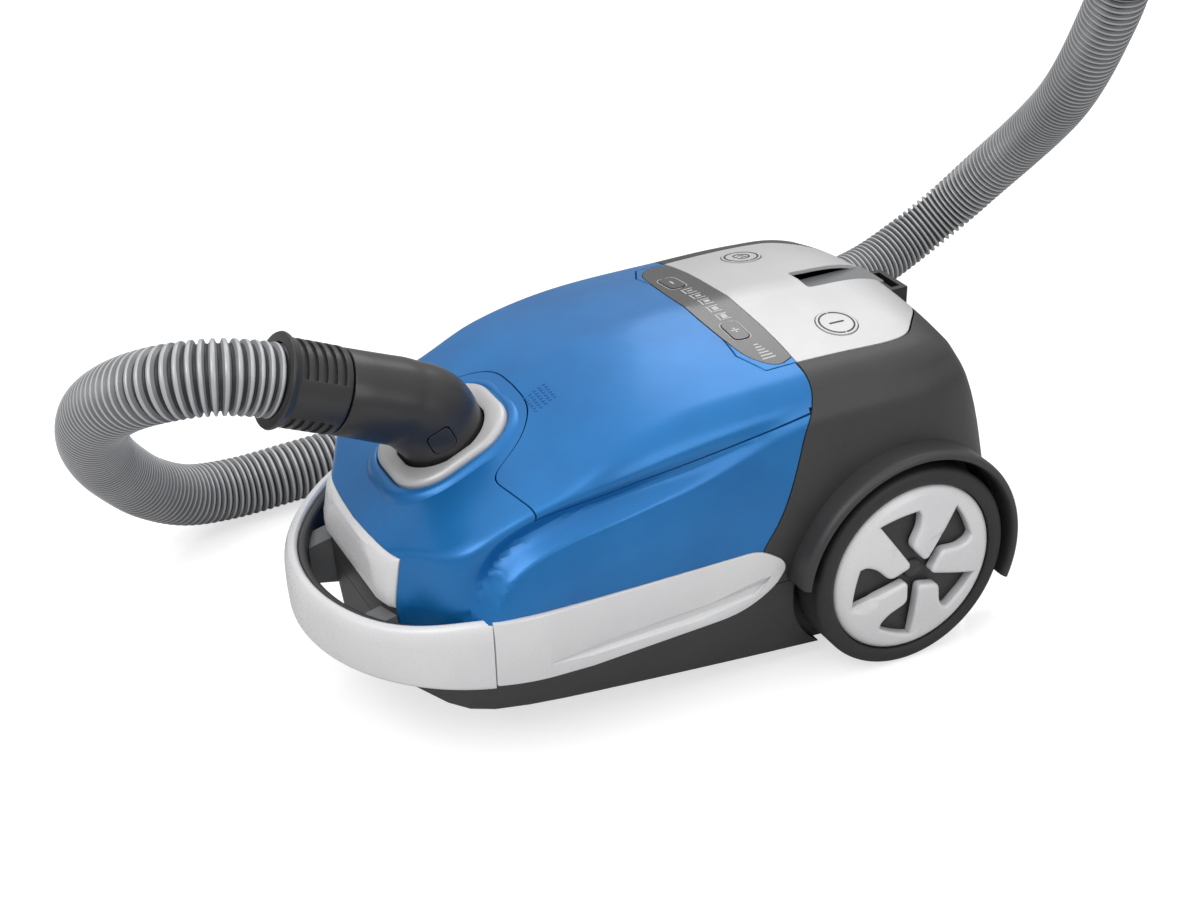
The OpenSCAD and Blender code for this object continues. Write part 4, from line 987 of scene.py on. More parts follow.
@dataclass
class InletElbow:
    """The elbow in the collar, its two latch buttons, and the slotted cuff that turns on it."""

    shells: Shells
    radius: float = 27.0
    bend_radius: float = 55.0
    bend: float = 42.0
    up: float = 5.0
    out: float = 38.0

    def frame_at(self, t: float, beyond: float = 0.0) -> tuple[Vector, Vector, Vector]:
        """Return centre, side and up directions of the elbow's section after a turn of t degrees."""
        a = math.radians(t)
        c = (0, self.bend_radius * (math.cos(a) - 1) - beyond * math.sin(a),
             self.up + self.bend_radius * math.sin(a) + beyond * math.cos(a))
        o = Vector(self.shells.on_collar(0, 0, 0))
        centre = Vector(self.shells.on_collar(*c))
        v = Vector(self.shells.on_collar(0, math.cos(a), math.sin(a))) - o
        return centre, Vector((1, 0, 0)), v

    def rings(self, grow: float) -> list[list[Vector]]:
        """Return the elbow's rings, wide at the collar and slimmer towards the cuff."""
        rings: list[list[Vector]] = []

        def ring(centre: Vector, u: Vector, v: Vector, rx: float, ry: float) -> list[Vector]:
            """Return one oval ring."""
            turn = [(math.cos(a), math.sin(a)) for a in (2 * math.pi * k / 64 for k in range(64))]
            return [(centre + u * (rx * c) + v * ((ry if s > 0 else rx) * s)) * MM for c, s in turn]

        for z in (-25, -12, -3):
            c = Vector(self.shells.on_collar(0, 0, z))
            v = Vector(self.shells.on_collar(0, 1, 0)) - Vector(self.shells.on_collar(0, 0, 0))
            foot = 0.8 if z > -5 else 0.0
            wide, high = self.radius + grow + foot, self.radius + grow + foot * 2
            rings.append(ring(c, Vector((1, 0, 0)), v, wide, high))
        for k in range(25):
            t = self.bend * k / 24
            c, u, v = self.frame_at(t)
            swell = math.sin(math.pi * min(1.0, (k + 4) / 24)) ** 1.2
            rings.append(ring(c, u, v, self.radius + grow + swell * 0.9, self.radius + grow + swell * 3.4))
        for z, r in ((6, -0.2), (14, -0.4), (24, -0.6), (36.6, -0.8), (37.4, -1.0), (37.8, -1.5)):
            c, u, v = self.frame_at(self.bend, z)
            rings.append(ring(c, u, v, self.radius + r + grow, self.radius + r + grow))
        return rings

    def build(self) -> None:
        """Build elbow, buttons and cuff."""
        elbow = new_object("inlet_elbow", skin("inlet_elbow", self.rings(0)), ELBOW_PLASTIC)
        combine(elbow, skin("elbow_core", self.rings(-3.4)), "DIFFERENCE")
        for s in (-1, 1):
            combine(elbow, self.button_block(f"button_room_{s}", s, 0.55, 18, 34), "DIFFERENCE")
        refinish(elbow, ELBOW_PLASTIC)
        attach(elbow, "body")
        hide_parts("hose_elbow")
        for s, side in ((-1, "left"), (1, "right")):
            name = f"elbow_catch_{side}"
            button = new_object(name, skin(name, self.rings(0.7)), ELBOW_PLASTIC)
            combine(button, skin("catch_core", self.rings(-2.2)), "DIFFERENCE")
            combine(button, self.button_block(f"catch_block_{s}", s, 0.0, 18, 34), "INTERSECT")
            refinish(button, ELBOW_PLASTIC)
            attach(button, f"elbow_{side}")
            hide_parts(f"elbow_button_{side}")
        self.build_cuff()

    def button_block(self, name: str, s: int, gap: float, low: float, high: float) -> bpy.types.Mesh:
        """Return the rounded block that a latch button is cut with."""
        outline = rounded([(-12 - gap, 9 - gap), (3 + gap, 9 - gap), (3 + gap, 23 + gap),
                           (-12 - gap, 23 + gap)], 4.2)
        return prism(name, outline, s * low, s * high, lambda y, z, x: self.shells.on_collar(x, y, z))

    def build_cuff(self) -> None:
        """Build the cuff as a lathed sleeve with two banks of slots and a flared lip."""
        outer = [(0.4, 25.4), (1.0, 26.2), (3.0, 26.6), (33.0, 26.6), (35.0, 26.9), (37.0, 28.6),
                 (38.6, 29.2), (39.8, 28.6), (40.0, 27.4)]
        rings = []
        for z, r in outer:
            c, u, v = self.frame_at(self.bend, self.out + 0.6 + z)
            rings.append([(c + u * (r * math.cos(a)) + v * (r * math.sin(a))) * MM
                          for a in (2 * math.pi * k / 96 for k in range(96))])
        cuff = new_object("hose_sleeve", skin("hose_sleeve", rings), ELBOW_PLASTIC)
        c0, u, v = self.frame_at(self.bend, self.out + 0.6)
        w = u.cross(v)
        combine(cuff, cylinder("sleeve_bore", tuple(c0), tuple(w), 22.9, -2, 44, 96), "DIFFERENCE")
        for k in range(5):
            z = 5.2 + k * 6.0
            for start, end in ((28, 152), (208, 332)):
                rings = []
                for j in range(21):
                    a = math.radians(start + (end - start) * j / 20)
                    radial = u * math.cos(a) + v * math.sin(a)
                    rings.append([(c0 + radial * r + w * zz) * MM for r, zz in
                                  ((24.6, z), (29.5, z), (29.5, z + 3.0), (24.6, z + 3.0))])
                combine(cuff, skin("slot", rings), "DIFFERENCE")
        refinish(cuff, ELBOW_PLASTIC)
        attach(cuff, "cuff")
        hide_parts("hose_cuff")


@dataclass
class InletCollar:
    """The raised silver collar round the inlet and the blue lip that frames it."""

    shells: Shells

    def build(self) -> None:
        """Build the collar ring and the lip."""
        loops = [(-1.4, -6.0), (-1.4, 1.0), (-1.8, 2.6), (-3.0, 3.8), (-4.8, 4.3), (-7.5, 4.0)]
        inner = [(29.8, 3.0), (29.5, 1.5), (29.5, -22.0)]
        rings = []
        for grow, z in loops:
            rings.append([Vector(self.shells.on_collar(x, y, z)) * MM
                          for x, y in self.shells.collar_plan(grow)])
        for r, z in inner:
            ring = []
            for x, y in self.shells.collar_plan(0):
                d = math.hypot(x, y)
                ring.append(Vector(self.shells.on_collar(x / d * r, y / d * r, z)) * MM)
            rings.append(ring)
        ring_obj = new_object("inlet_collar", skin("inlet_collar", rings, caps=False), SILVER_PANEL)
        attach(ring_obj, "body")
        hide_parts("hose_collar")
        lip_loops = [(-1.0, -10.0), (-0.9, -0.5), (0.2, 1.2), (2.2, 1.6), (5.0, 0.2), (8.5, -3.2),
                     (11.0, -9.0)]
        lip = new_object("collar_lip", skin("collar_lip", [
            [Vector(self.shells.on_collar(x, y, z)) * MM for x, y in self.shells.collar_plan(g)]
            for g, z in lip_loops], caps=False), BLUE_SHELL, sharp=60)
        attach(lip, "body")


# ---------------------------------------------------------------- bumper, trims and latch


def outside(mesh: bpy.types.Mesh) -> tuple[list[Vector], list[tuple[int, ...]]]:
    """Return the points and faces of a mesh, for finding places on it."""
    return [v.co.copy() for v in mesh.vertices], [tuple(p.vertices) for p in mesh.polygons]


@dataclass
class BumperLoop:
    """The white loop round the nose, its dark liner, and the trims that carry its line back."""

    shells: Shells
    reach: float = 120.0
    half_width: float = 124.0
    low: float = 60.0
    tall: float = 38.0
    thick: float = 9.0

    def band(self, name: str, profile: Sequence[Flat], end_y: float) -> bpy.types.Mesh:
        """Sweep a closed profile of inset and height round the front half of the loop."""
        rings = []
        ratio = (end_y + 240 - self.reach) / self.reach
        start = math.asin(max(-1.0, min(1.0, ratio)))
        for k in range(121):
            t = math.pi - start + (math.pi + 2 * start) * k / 120
            ring = []
            rise = 0.23 * ramp(-240 + self.reach * (1 + math.sin(t)), -226, -158)
            for inset, z in profile:
                ring.append(((self.half_width - inset) * math.cos(t) * MM,
                             (-240 + self.reach + (self.reach - inset) * math.sin(t)) * MM,
                             (z + (z - self.low) * rise) * MM))
            rings.append(ring)
        return skin(name, rings)

    def build(self) -> None:
        """Build the loop, the liner, the trims and the latch lever."""
        z0, z1, t = self.low, self.low + self.tall, self.thick
        outer = rounded([(0.8, z0), (0, z0 + 14), (0.2, z1 - 8), (2.4, z1 - 1.4), (t - 2.2, z1),
                         (t, z1 - 2.0), (t, z0)], [2.5, 6, 5, 3, 1.5, 1.0, 1.0], 4)
        loop = new_object("nose_loop", self.band("nose_loop", outer, -157.9), WHITE_TRIM)
        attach(loop, "body")
        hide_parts("bumper_loop")
        liner = rounded([(t + 0.05, z0 + 3), (t + 0.05, z1 - 4), (t + 1.4, z1 - 2.4), (t + 6, z1 - 4.5),
                         (t + 6, z0 + 3)], [0.5, 0.5, 1, 2, 1], 4)
        lining = new_object("loop_lining", self.band("loop_lining", liner, -171), CHARCOAL)
        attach(lining, "body")
        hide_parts("bumper_liner")
        for s, side in ((-1, "left"), (1, "right")):
            self.trim(s, side)
        self.lever()

    def trim(self, s: int, side: str) -> None:
        """Build one side trim with its shallow dished facet."""
        name = f"flank_trim_{side}"
        slab = prism(name, self.shells.trim_outline(0.0), s * 118, s * 124, across)
        obj = new_object(name, slab, WHITE_TRIM)
        dish = [(-128, 71), (-98, 68.5), (-30, 69.5), (16, 76), (27, 88), (-20, 79.5), (-80, 76.5)]
        n = len(dish)
        deep = [(y * 0.94 - 2, (z - 77) * 0.5 + 76) for y, z in dish]
        points = [(s * 130, y, z) for y, z in dish] + [(s * 124.4, y, z) for y, z in dish] + [
            (s * 121.8, y, z) for y, z in deep]
        rings = [[(x * MM, y * MM, z * MM) for x, y, z in points[k * n:(k + 1) * n]] for k in range(3)]
        combine(obj, skin("dish", rings), "DIFFERENCE")
        obj.data.materials.clear()
        obj.data.materials.append(WHITE_TRIM.material())
        bevel(obj, 1.6, 3, 50)
        self.bend(obj, s)
        smooth(obj, 20)
        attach(obj, "body")
        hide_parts(f"side_trim_{side}")

    def bend(self, obj: bpy.types.Object, s: int) -> None:
        """Bend the front of a trim inwards, so that it runs on from the loop."""
        bm = bmesh.new()
        bm.from_mesh(obj.data)
        for k in range(13):
            cut = (-158 + 3.2 * k) * MM
            bmesh.ops.bisect_plane(bm, geom=[*bm.verts, *bm.edges, *bm.faces], plane_co=(0, cut, 0),
                                   plane_no=(0, 1, 0))
        middle = -240 + self.reach
        for vert in bm.verts:
            y = vert.co.y / MM
            if y < middle:
                span = min(0.999, abs(y - middle) / self.reach)
                vert.co.x -= s * self.half_width * (1 - math.sqrt(1 - span * span)) * MM
        bm.to_mesh(obj.data)
        bm.free()

    def lever(self) -> None:
        """Build the latch lever that closes the nose, a curved plate that follows the nose."""
        surface = self.shells.surface
        xs = [-59 + 118 * k / 40 for k in range(41)]
        tree = BVHTree.FromPolygons(*outside(surface.solid("probe")))

        def nose(x: float, z: float) -> float:
            """Return where the nose's skin is, in millimetres."""
            hit = tree.ray_cast(Vector((x, -300, z)) * MM, Vector((0, 1, 0)))[0]
            return hit.y / MM if hit is not None else -180.0

        outline = [(96.6, 0.6), (96.8, 1.8), (97.6, 2.6), (100, 3.0), (106, 3.2), (110, 2.6), (116, 2.4),
                   (122, 2.2), (127, 1.8), (128.6, 1.2), (129.2, 0.2), (129.2, -1.6), (122, -1.6),
                   (110, -1.6), (100, -1.6), (96.6, -1.6)]
        rings = []
        for x in xs:
            edge = 1 - ramp(abs(x), 56.0, 59) * 0.8
            rings.append([(x * MM, (nose(x, z) - out * (edge if out > 0 else 1)) * MM, z * MM)
                          for z, out in outline])
        obj = new_object("nose_latch", skin("nose_latch", rings), WHITE_TRIM)
        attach(obj, "latch")
        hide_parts("latch_lever")


# ---------------------------------------------------------------- wheels


@dataclass
class RearWheel:
    """One rear wheel: tread ring, dark dish and a five-bladed hubcap."""

    side: int
    name: str
    axle_y: float = 122.0
    axle_z: float = 70.0
    face_x: float = 140.0
    cap_r: float = 56.4
    blades: int = 5

    def place(self, u: float, v: float, x: float) -> Vector:
        """Map a point of the wheel's face into the frame; x runs out of the face."""
        return Vector((self.side * (self.face_x + x), self.axle_y + u, self.axle_z + v)) * MM

    def lathe(self, name: str, profile: Sequence[Flat], sides: int = 120) -> bpy.types.Mesh:
        """Turn a closed profile of radius and depth about the axle."""
        rings = []
        for k in range(sides):
            t = 2 * math.pi * k / sides
            rings.append([self.place(r * math.cos(t), r * math.sin(t), x) for r, x in profile])
        return skin(name, rings, closed=True)

    def build(self) -> None:
        """Build the tread, the dish and the cap."""
        tread = rounded([(70 - 1.6, -1.6), (70, -4), (70, -29), (68, -33), (14, -33), (14, -28), (56, -12),
                         (59.2, -10), (59.2, -1.8), (62, -0.6), (66, -0.6)],
                        [1.5, 1.5, 2, 2, 0.1, 0.1, 4, 2, 0.8, 1.5, 2], 4)
        tyre = new_object(f"tread_{self.name}", self.lathe(f"tread_{self.name}", tread), TREAD, sharp=28)
        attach(tyre, f"wheel_{self.name}")
        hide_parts(f"tyre_{self.name}")
        dish = rounded([(59.0, -9.0), (57.0, -6.6), (14, -3.4), (5.4, -3.2), (5.4, -8), (57, -11)],
                       [0.5, 1, 6, 0.1, 0.1, 0.1], 3)
        name = f"wheel_dish_{self.name}"
        disc = new_object(name, self.lathe(name, dish), CHARCOAL, sharp=28)
        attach(disc, f"wheel_{self.name}")
        nut = rounded([(0.01, -3.4), (7, -3.4), (6.4, -1.2), (0.01, -0.6)], [0, 0.5, 1.5, 0], 3)
        cap = new_object(f"axle_cap_{self.name}", self.lathe(f"axle_cap_{self.name}", nut, 48), CHARCOAL)
        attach(cap, f"wheel_{self.name}")
        self.cap()

    def opening(self) -> list[Flat]:
        """Return the star-shaped opening of the hubcap: five windows that meet in the middle."""
        blade: list[tuple[float, float, float]] = [
            (1.6, 51.5, 1.5), (2.6, 11.6, 1.5), (14.6, 14.8, 2.6), (16.4, 27.6, 4.0), (21.0, 35.6, 3.6)]
        corners: list[Flat] = []
        radii: list[float] = []
        arc = 8
        for k in range(self.blades):
            edge = math.radians(-90 + 72 * k)
            d, p = (math.cos(edge), math.sin(edge)), (-math.sin(edge), math.cos(edge))
            for u, v, r in blade:
                corners.append((v * d[0] + u * p[0], v * d[1] + u * p[1]))
                radii.append(r)
            for j in range(arc + 1):
                t = edge + math.radians(35.5 + (69.5 - 35.5) * j / arc)
                far = 46.2 + 4.3 * (j / arc) ** 2
                corners.append((far * math.cos(t), far * math.sin(t)))
                radii.append(1.6 if j == 0 else 0.0)
        return rounded(corners, radii, 4)

    def height(self, r: float) -> float:
        """Return how far the cap's face stands out at a radius: a shallow dome with a rounded rim."""
        dome = 6.4 * (1 - (r / 58.5) ** 2)
        rim = -2.6 * ramp(r, 52.5, 58.6) ** 1.5
        return dome + rim

    def cap(self) -> None:
        """Build the white cap from a flat outline with a bevel, then dome it."""
        curve = bpy.data.curves.new(f"cap_{self.name}", "CURVE")
        curve.dimensions = "2D"
        curve.fill_mode = "BOTH"
        curve.extrude = 2.2 * MM
        curve.bevel_depth = 2.3 * MM
        curve.bevel_resolution = 3
        curve.resolution_u = 1
        turn = [2 * math.pi * k / 120 for k in range(120)]
        edge = [(self.cap_r * math.cos(t), self.cap_r * math.sin(t)) for t in turn]
        for loop in (edge, self.opening()):
            spline = curve.splines.new("POLY")
            spline.points.add(len(loop) - 1)
            for point, (a, b) in zip(spline.points, loop):
                point.co = (a * MM, b * MM, 0, 1)
            spline.use_cyclic_u = True
        flat = bpy.data.objects.new("cap_flat", curve)
        bpy.context.scene.collection.objects.link(flat)
        graph = bpy.context.evaluated_depsgraph_get()
        mesh = bpy.data.meshes.new_from_object(flat.evaluated_get(graph))
        bpy.data.objects.remove(flat)
        bm = bmesh.new()
        bm.from_mesh(mesh)
        bmesh.ops.remove_doubles(bm, verts=bm.verts, dist=1e-6)
        bmesh.ops.triangulate(bm, faces=bm.faces)
        for _ in range(4):
            long = [e for e in bm.edges if e.calc_length() > 4.5 * MM]
            if not long:
                break
            bmesh.ops.subdivide_edges(bm, edges=long, cuts=1)
            bmesh.ops.triangulate(bm, faces=[f for f in bm.faces if len(f.verts) > 3])
            bmesh.ops.beautify_fill(bm, faces=bm.faces, edges=bm.edges)
        for vert in bm.verts:
            a, b, z = vert.co.x / MM, vert.co.y / MM, vert.co.z / MM
            r = math.hypot(a, b)
            x = z - 4.5 + self.height(r)
            vert.co = self.place(a, b, x)
        bmesh.ops.recalc_face_normals(bm, faces=bm.faces)
        bm.to_mesh(mesh)
        bm.free()
        obj = new_object(f"hubcap_face_{self.name}", mesh, WHITE_TRIM, sharp=50)
        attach(obj, f"wheel_{self.name}")
        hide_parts(f"hubcap_{self.name}")
        LOG.info("hubcap_face_%s: %d faces", self.name, len(mesh.polygons))


@dataclass
class WheelRim:
    """The rim that stands out round one rear wheel, and the well behind it."""

    side: int
    name: str
    axle_y: float = 122.0
    axle_z: float = 70.0

    def sweep(self, name: str, profile: Sequence[Flat], start: float, end: float) -> bpy.types.Mesh:
        """Sweep a closed profile of radius and distance out from the middle, through an arc in degrees."""
        rings = []
        for k in range(85):
            t = math.radians(start + (end - start) * k / 84)
            c, s = math.cos(t), math.sin(t)
            rings.append([(self.side * x * MM, (self.axle_y + r * c) * MM, (self.axle_z + r * s) * MM)
                          for r, x in profile])
        return skin(name, rings)

    def build(self) -> None:
        """Build the rim and the well."""
        lip = rounded([(76.2, 112), (82.5, 108), (82.2, 137.5), (80.4, 140.6), (77.6, 141), (76.2, 138)],
                      [0.2, 0.2, 2.5, 1.6, 1.2, 1.4], 4)
        name = f"wheel_rim_{self.name}"
        rim = new_object(name, self.sweep(name, lip, -21, 174), CHARCOAL)
        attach(rim, "body")
        wall = [(77.3, 124), (76.0, 124), (76.0, 98.8), (10, 98.8), (10, 97.2), (77.3, 97.2)]
        name = f"wheel_well_{self.name}"
        well = new_object(name, self.sweep(name, wall, 4, 176), CHARCOAL)
        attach(well, "body")


@dataclass
class Controls:
    """Pedals, rocker pads, printed icons and the grip recess on the top of the machine."""

    shells: Shells
    pedal_x: float = 59.0
    pedal_y: float = 110.0
    pad_x: float = 41.0
    pad_y: float = 47.0

    def inlay(self, name: str, outlines: Sequence[Sequence[Flat]], rise: float, depth: float, finish: Finish,
              body: str) -> bpy.types.Object:
        """Lay flat shapes on the curved top.

        Args:
            name: The piece's name.
            outlines: Plan outlines that don't touch each other.
            rise: How far the shapes stand over the surface.
            depth: How far they reach down.
            finish: Their finish.
            body: The moving body they ride on.

        Returns:
            The inlay.
        """
        top = self.shells.surface.height
        obj = new_object(name, self.shells.surface.solid(name, -rise), finish)
        points: list[Point] = []
        faces: list[tuple[int, ...]] = []
        for line in outlines:
            n, base = len(line), len(points)
            points += [(x * MM, y * MM, (top - 70) * MM) for x, y in line]
            points += [(x * MM, y * MM, (top + 20) * MM) for x, y in line]
            faces += [tuple(range(base + n - 1, base - 1, -1)), tuple(range(base + n, base + 2 * n))]
            faces += [(base + i, base + (i + 1) % n, base + n + (i + 1) % n, base + n + i) for i in range(n)]
        combine(obj, mesh_of(name + "_tool", points, faces), "INTERSECT")
        combine(obj, self.shells.surface.solid(name + "_core", depth), "DIFFERENCE")
        refinish(obj, finish, 30)
        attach(obj, body)
        return obj

    @staticmethod
    def disc(x: float, y: float, r: float, steps: int = 40) -> list[Flat]:
        """Return a round outline."""
        return [(x + r * math.cos(2 * math.pi * k / steps), y + r * math.sin(2 * math.pi * k / steps))
                for k in range(steps)]

    @staticmethod
    def arc(x: float, y: float, r: float, width: float, start: float, end: float) -> list[Flat]:
        """Return the outline of a piece of a ring."""
        turn = [math.radians(start + (end - start) * k / 24) for k in range(25)]
        far, near = r + width / 2, r - width / 2
        return ([(x + far * math.cos(t), y + far * math.sin(t)) for t in turn]
                + [(x + near * math.cos(t), y + near * math.sin(t)) for t in reversed(turn)])

    @staticmethod
    def bar(x: float, y: float, w: float, d: float) -> list[Flat]:
        """Return a small upright bar."""
        left, right, low, high = x - w / 2, x + w / 2, y - d / 2, y + d / 2
        return [(left, low), (right, low), (right, high), (left, high)]

    def build(self) -> None:
        """Build the pedals, the pads, the icons and the recess."""
        self.build_pedals()
        self.build_pads()
        self.build_legend()
        grip = [self.bar(19 + 3.2 * i, -88 + 3.2 * j, 1.5, 1.5) for i in range(6) for j in range(5)]
        dots = self.inlay("lid_grip_dots", grip, 0.35, 0.0, BLUE_SHELL, "lid")
        top = self.shells.surface.height
        outline = rounded([(-14.5, 116.5), (14.5, 116.5), (14.5, 176), (-14.5, 176)], [3, 3, 1, 1])
        plate = prism("grip_recess_tray", outline, top - 12.5, top - 8.6, upward)
        tray = new_object("grip_recess_tray", plate, GREY_PLASTIC)
        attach(tray, "body")

    def build_pedals(self) -> None:
        """Build the power and rewind pedals with their printed marks."""
        for s, node, body in ((1, "power_button", "power"), (-1, "rewind_button", "rewind")):
            x, y = s * self.pedal_x, self.pedal_y
            pedal = self.inlay(f"{body}_pedal", [self.disc(x, y, 13.3, 64)], 0.5, 6.5, SILVER_PANEL, body)
            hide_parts(node)
            marks = [self.arc(x, y, 11.2, 1.2, 2, 178), self.arc(x, y, 11.2, 1.2, 182, 358)]
            if s > 0:
                marks.append(self.bar(x, y, 1.5, 10.5))
            else:
                marks += [self.arc(x, y, 5.4, 1.2, -60, 240), self.bar(x - 2, y + 0.8, 1.2, 4.4),
                          self.bar(x + 2, y + 0.8, 1.2, 4.4), self.bar(x, y - 4.4, 1.3, 3.0)]
            icon = self.inlay(f"{body}_icon", marks, 0.62, 0.0, DARK_INK, body)

    def build_pads(self) -> None:
        """Build the plus and minus pads with their signs."""
        for s, node in ((1, "plus_button"), (-1, "minus_button")):
            body = node.split("_")[0]
            x, y = s * self.pad_x, self.pad_y
            pad = self.inlay(f"{body}_pad", [rounded(self.bar(x, y, 21, 11), 4.6, 6)], 0.5, 4.5, SMOKED, body)
            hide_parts(node)
            marks = [self.bar(x, y, 5.6, 1.3)]
            if s > 0:
                marks = [self.bar(x, y, 1.3, 5.6), self.bar(x - 1.9, y, 1.9, 1.3),
                         self.bar(x + 1.9, y, 1.9, 1.3)]
            sign = self.inlay(f"{body}_sign", marks, 0.6, -0.3, PALE_INK, body)

    def build_legend(self) -> None:
        """Build the pictograms, the rising scale and the outlines of the pads."""
        marks: list[list[Flat]] = []
        for k in range(5):
            x = -22 + 11 * k
            marks += [self.bar(x, 45.5, 8.0, 1.0), self.bar(x - 3.5, 50.0, 1.0, 6.6),
                      self.bar(x + 3.5, 50.0, 1.0, 6.6)]
            marks.append(self.bar(x, 49.8, 1.4 + 0.9 * k, 3.8))
        for k in range(6):
            marks.append(self.bar(60 + k * 2.9, 50.5 + 0.2 * k, 1.3, 3.0 + 1.3 * k))
        for s in (-1, 1):
            edge = rounded(self.bar(s * self.pad_x, self.pad_y, 23.6, 13.6), 5.4, 6)
            hole = rounded(self.bar(s * self.pad_x, self.pad_y, 22.6, 12.6), 5.0, 6)
            half = len(edge) // 2
            marks.append(edge[:half + 1] + hole[:half + 1][::-1])
            marks.append(edge[half + 2:] + hole[half + 2:][::-1])
        legend = self.inlay("lamp_icons", marks, 0.12, -0.02, PALE_INK, "body")


@dataclass
class DustBag:
    """The fleece bag, blown up by its own air in a short cloth simulation."""

    frame: dict[str, Any]
    cell: float = 5.5
    start_in: float = 6.0
    cap: float = 9.0
    frames: int = 20

    def build(self) -> None:
        """Build the bag from the place that the frame keeps for it."""
        source = self.frame["nodes"]["dust_bag"]
        mesh = source.data.copy()
        mesh.transform(source.matrix_world)
        obj = new_object("fleece_bag", mesh, FLEECE, sharp=70)
        remesh = obj.modifiers.new("even", "REMESH")
        remesh.mode = "VOXEL"
        remesh.voxel_size = self.cell * MM
        apply_modifiers(obj)
        bm = bmesh.new()
        bm.from_mesh(obj.data)
        bmesh.ops.recalc_face_normals(bm, faces=bm.faces)
        bm.normal_update()
        for vert, normal in [(v, v.normal.copy()) for v in bm.verts]:
            vert.co -= normal * self.start_in * MM
        for _ in range(3):
            bmesh.ops.smooth_vert(bm, verts=bm.verts, factor=0.5, use_axis_x=True, use_axis_y=True,
                                  use_axis_z=True)
        bm.to_mesh(obj.data)
        bm.free()
        self.blow(obj)
        sub = obj.modifiers.new("fine", "SUBSURF")
        sub.levels = 1
        sub.render_levels = 1
        apply_modifiers(obj)
        refinish(obj, FLEECE, 70)
        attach(obj, "body")
        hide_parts("dust_bag")
        LOG.info("fleece_bag: %d faces", len(obj.data.polygons))

    def blow(self, obj: bpy.types.Object) -> None:
        """Run the cloth simulation and keep each point near where it started."""
        before = [v.co.copy() for v in obj.data.vertices]
        cloth = obj.modifiers.new("cloth", "CLOTH")
        cloth.settings.use_pressure = True
        cloth.settings.uniform_pressure_force = 4.0
        cloth.settings.quality = 5
        cloth.settings.effector_weights.gravity = 0.0
        cloth.point_cache.frame_start = 1
        cloth.point_cache.frame_end = self.frames
        for frame in range(1, self.frames + 1):
            bpy.context.scene.frame_set(frame)
        graph = bpy.context.evaluated_depsgraph_get()
        after = [v.co.copy() for v in obj.evaluated_get(graph).data.vertices]
        obj.modifiers.clear()
        for vert, a, b in zip(obj.data.vertices, before, after):
            move = b - a
            if move.length > self.cap * MM:
                move = move.normalized() * self.cap * MM
            vert.co = a + move
        bpy.context.scene.frame_set(1)


# ---------------------------------------------------------------- studio


WHITE = (1.0, 1.0, 1.0, 1.0)


def studio() -> None:
    """Set the pale floor, the soft lights and the camera."""
    lay_floor()
    hang_sky()
    place_lamps()
    place_camera()
    bpy.context.scene.view_settings.view_transform = "Standard"
    bpy.context.scene.view_settings.look = "None"


def lay_floor() -> None:
    """Lay the faintly glossy white floor."""
    floor_finish = bpy.data.materials.new("studio_floor")
    floor_finish.use_nodes = True
    tree = floor_finish.node_tree
    tree.nodes.clear()
    gloss = add_node(tree, "ShaderNodeBsdfPrincipled",
                     {"Base Color": (0.55, 0.55, 0.55, 1.0), "Roughness": 0.14})
    seen = add_node(tree, "ShaderNodeLightPath")
    lift = add_node(tree, "ShaderNodeMath", {"operation": "MULTIPLY", "1": 0.64},
                    {"0": seen.outputs["Is Camera Ray"]})
    glow = add_node(tree, "ShaderNodeEmission", {"Color": WHITE}, {"Strength": lift.outputs[0]})
    both = add_node(tree, "ShaderNodeAddShader", {}, {"0": gloss.outputs[0], "1": glow.outputs[0]})
    add_node(tree, "ShaderNodeOutputMaterial", {}, {"Surface": both.outputs[0]})
    bm = bmesh.new()
    bmesh.ops.create_grid(bm, x_segments=1, y_segments=1, size=14)
    mesh = bpy.data.meshes.new("floor")
    bm.to_mesh(mesh)
    bm.free()
    floor = bpy.data.objects.new("floor", mesh)
    floor.location = (0, 0, -0.0006)
    mesh.materials.append(floor_finish)
    bpy.context.scene.collection.objects.link(floor)
    floor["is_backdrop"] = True


def hang_sky() -> None:
    """Light the world from above, paler at the top than at the horizon."""
    world = bpy.data.worlds.new("studio")
    bpy.context.scene.world = world
    world.use_nodes = True
    tree = world.node_tree
    tree.nodes.clear()
    where = add_node(tree, "ShaderNodeTexCoord")
    split = add_node(tree, "ShaderNodeSeparateXYZ", {}, {"0": where.outputs["Generated"]})
    sky = add_node(tree, "ShaderNodeMapRange", {"1": 0.05, "2": 0.8, "3": 0.34, "4": 1.05},
                   {"0": split.outputs[2]})
    back = add_node(tree, "ShaderNodeBackground", {"Color": WHITE}, {"Strength": sky.outputs[0]})
    add_node(tree, "ShaderNodeOutputWorld", {}, {"Surface": back.outputs[0]})


def place_lamps() -> None:
    """Place the three soft lamps, all turned towards the machine."""
    aim = Vector((0, 0, 0.1))
    for name, place, size, power in (("key", (0.5, -1.6, 1.9), 1.4, 20), ("fill", (2.2, 0.7, 1.2), 1.2, 9),
                                     ("back", (-1.4, 1.2, 2.0), 1.4, 12)):
        data = bpy.data.lights.new(name, "AREA")
        data.energy = power
        data.size = size
        lamp = bpy.data.objects.new(name, data)
        lamp.location = place
        lamp.rotation_euler = (aim - Vector(place)).to_track_quat("-Z", "Y").to_euler()
        bpy.context.scene.collection.objects.link(lamp)


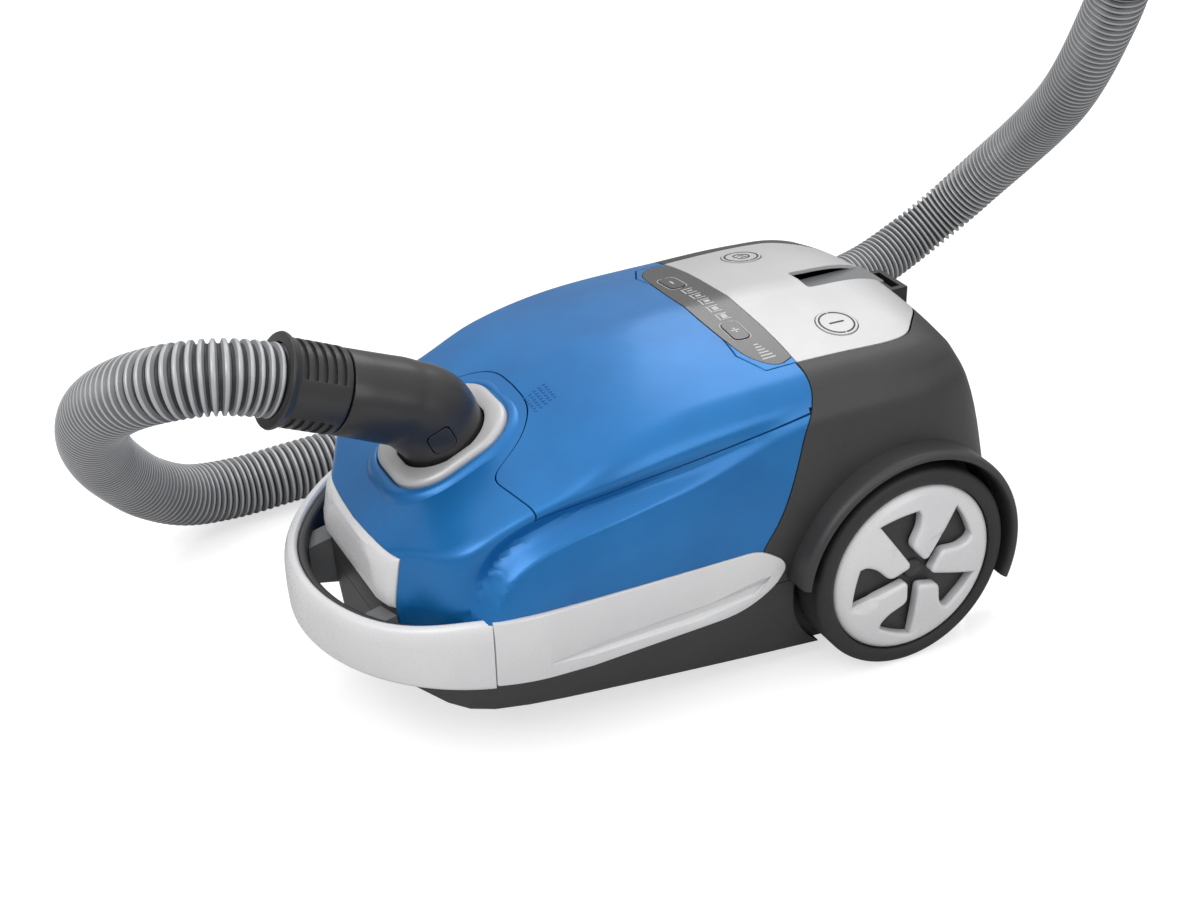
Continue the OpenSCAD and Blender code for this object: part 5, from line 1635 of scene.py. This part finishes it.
def place_camera() -> None:
    """Place the camera by its turn round the machine, its height and a slight roll."""
    cam = bpy.data.cameras.new("camera")
    cam.lens = 58.05
    cam.sensor_width = 36
    cam.clip_start = 0.01
    eye = bpy.data.objects.new("camera", cam)
    bpy.context.scene.collection.objects.link(eye)
    azimuth, elevation, roll = math.radians(64.34), math.radians(29.65), math.radians(-1.76)
    flat = math.cos(elevation)
    back = Vector((math.sin(azimuth) * flat, -math.cos(azimuth) * flat, math.sin(elevation)))
    right = Vector((math.cos(azimuth), math.sin(azimuth), 0))
    up = back.cross(right)
    rolled_right = right * math.cos(roll) + up * math.sin(roll)
    rolled_up = -right * math.sin(roll) + up * math.cos(roll)
    place = Matrix((rolled_right, rolled_up, back)).transposed().to_4x4()
    place.translation = Vector((0.9627, -0.4982, 0.7324))
    eye.matrix_world = place
    bpy.context.scene.camera = eye


@dataclass
class CarriedNodes:
    """Pieces whose shape is already right, which only get their finish."""

    frame: dict[str, Any]
    finishes: dict[str, Finish] = field(default_factory=lambda: {
        "base_pan": CHARCOAL, "front_post": GREY_PLASTIC,
        "rear_feet": CHARCOAL, "parking_bracket": BLACK_PLASTIC, "bulkhead": CHARCOAL, "inlet_seal": SEAL,
        "exhaust_filter": FILTER_PAPER, "motor_housing": MOTOR_CASE, "motor_stator": LAMINATION,
        "motor_rotor": COPPER, "motor_fan": ALUMINIUM, "motor_bearings": STEEL, "carbon_brushes": CARBON,
        "motor_mounts": SEAL,
        "cord_reel": REEL_PLASTIC, "reel_axle": STEEL, "reel_spring_case": STEEL, "reel_brake": BLACK_PLASTIC,
        "circuit_board": BOARD, "button_springs": STEEL,
        "filter_frame": WHITE_TRIM, "filter_foam": FOAM,
        "bag_plate": CARD, "bag_holder": BLUE_PLASTIC, "lid_seal": SEAL, "lid_hinge_pins": STEEL,
        "latch_slide": STEEL, "wheel_axles": STEEL, "caster_fork": BLACK_PLASTIC, "caster_wheel": TREAD,
        "caster_axle": STEEL, "hand_grip": ELBOW_PLASTIC, "grip_slider": SILVER_PANEL, "base_screws": STEEL})

    def dress(self) -> None:
        """Give each carried piece its finish."""
        for name, finish in self.finishes.items():
            obj = self.frame["nodes"][name]
            mat = finish.material()
            if not obj.material_slots:
                obj.data.materials.append(mat)
            for slot in obj.material_slots:
                slot.material = mat
            LOG.info("%s: %s", name, finish.name)


def corners(bounds: Any) -> list[list[float]]:
    """Return the two corners of a box as plain lists."""
    return [[float(v) for v in corner] for corner in bounds]


def main() -> None:
    """Build the sub-assemblies in order; some of them log their face counts or finishes."""
    logging.basicConfig(level=logging.INFO, format="%(message)s")
    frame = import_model()
    before = corners(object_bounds())
    studio()
    hose = SuctionHose()
    hose.build()
    shells = Shells(BodySurface())
    shells.build()
    InletCollar(shells).build()
    InletElbow(shells).build()
    hose.declare()
    BumperLoop(shells).build()
    for part in (RearWheel, WheelRim):
        for side, name in ((1, "right"), (-1, "left")):
            part(side, name).build()
    Controls(shells).build()
    DustBag(frame).build()
    CarriedNodes(frame).dress()
    {"cad": before, "visual": corners(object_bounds())}


if __name__ == "__main__":
    main()
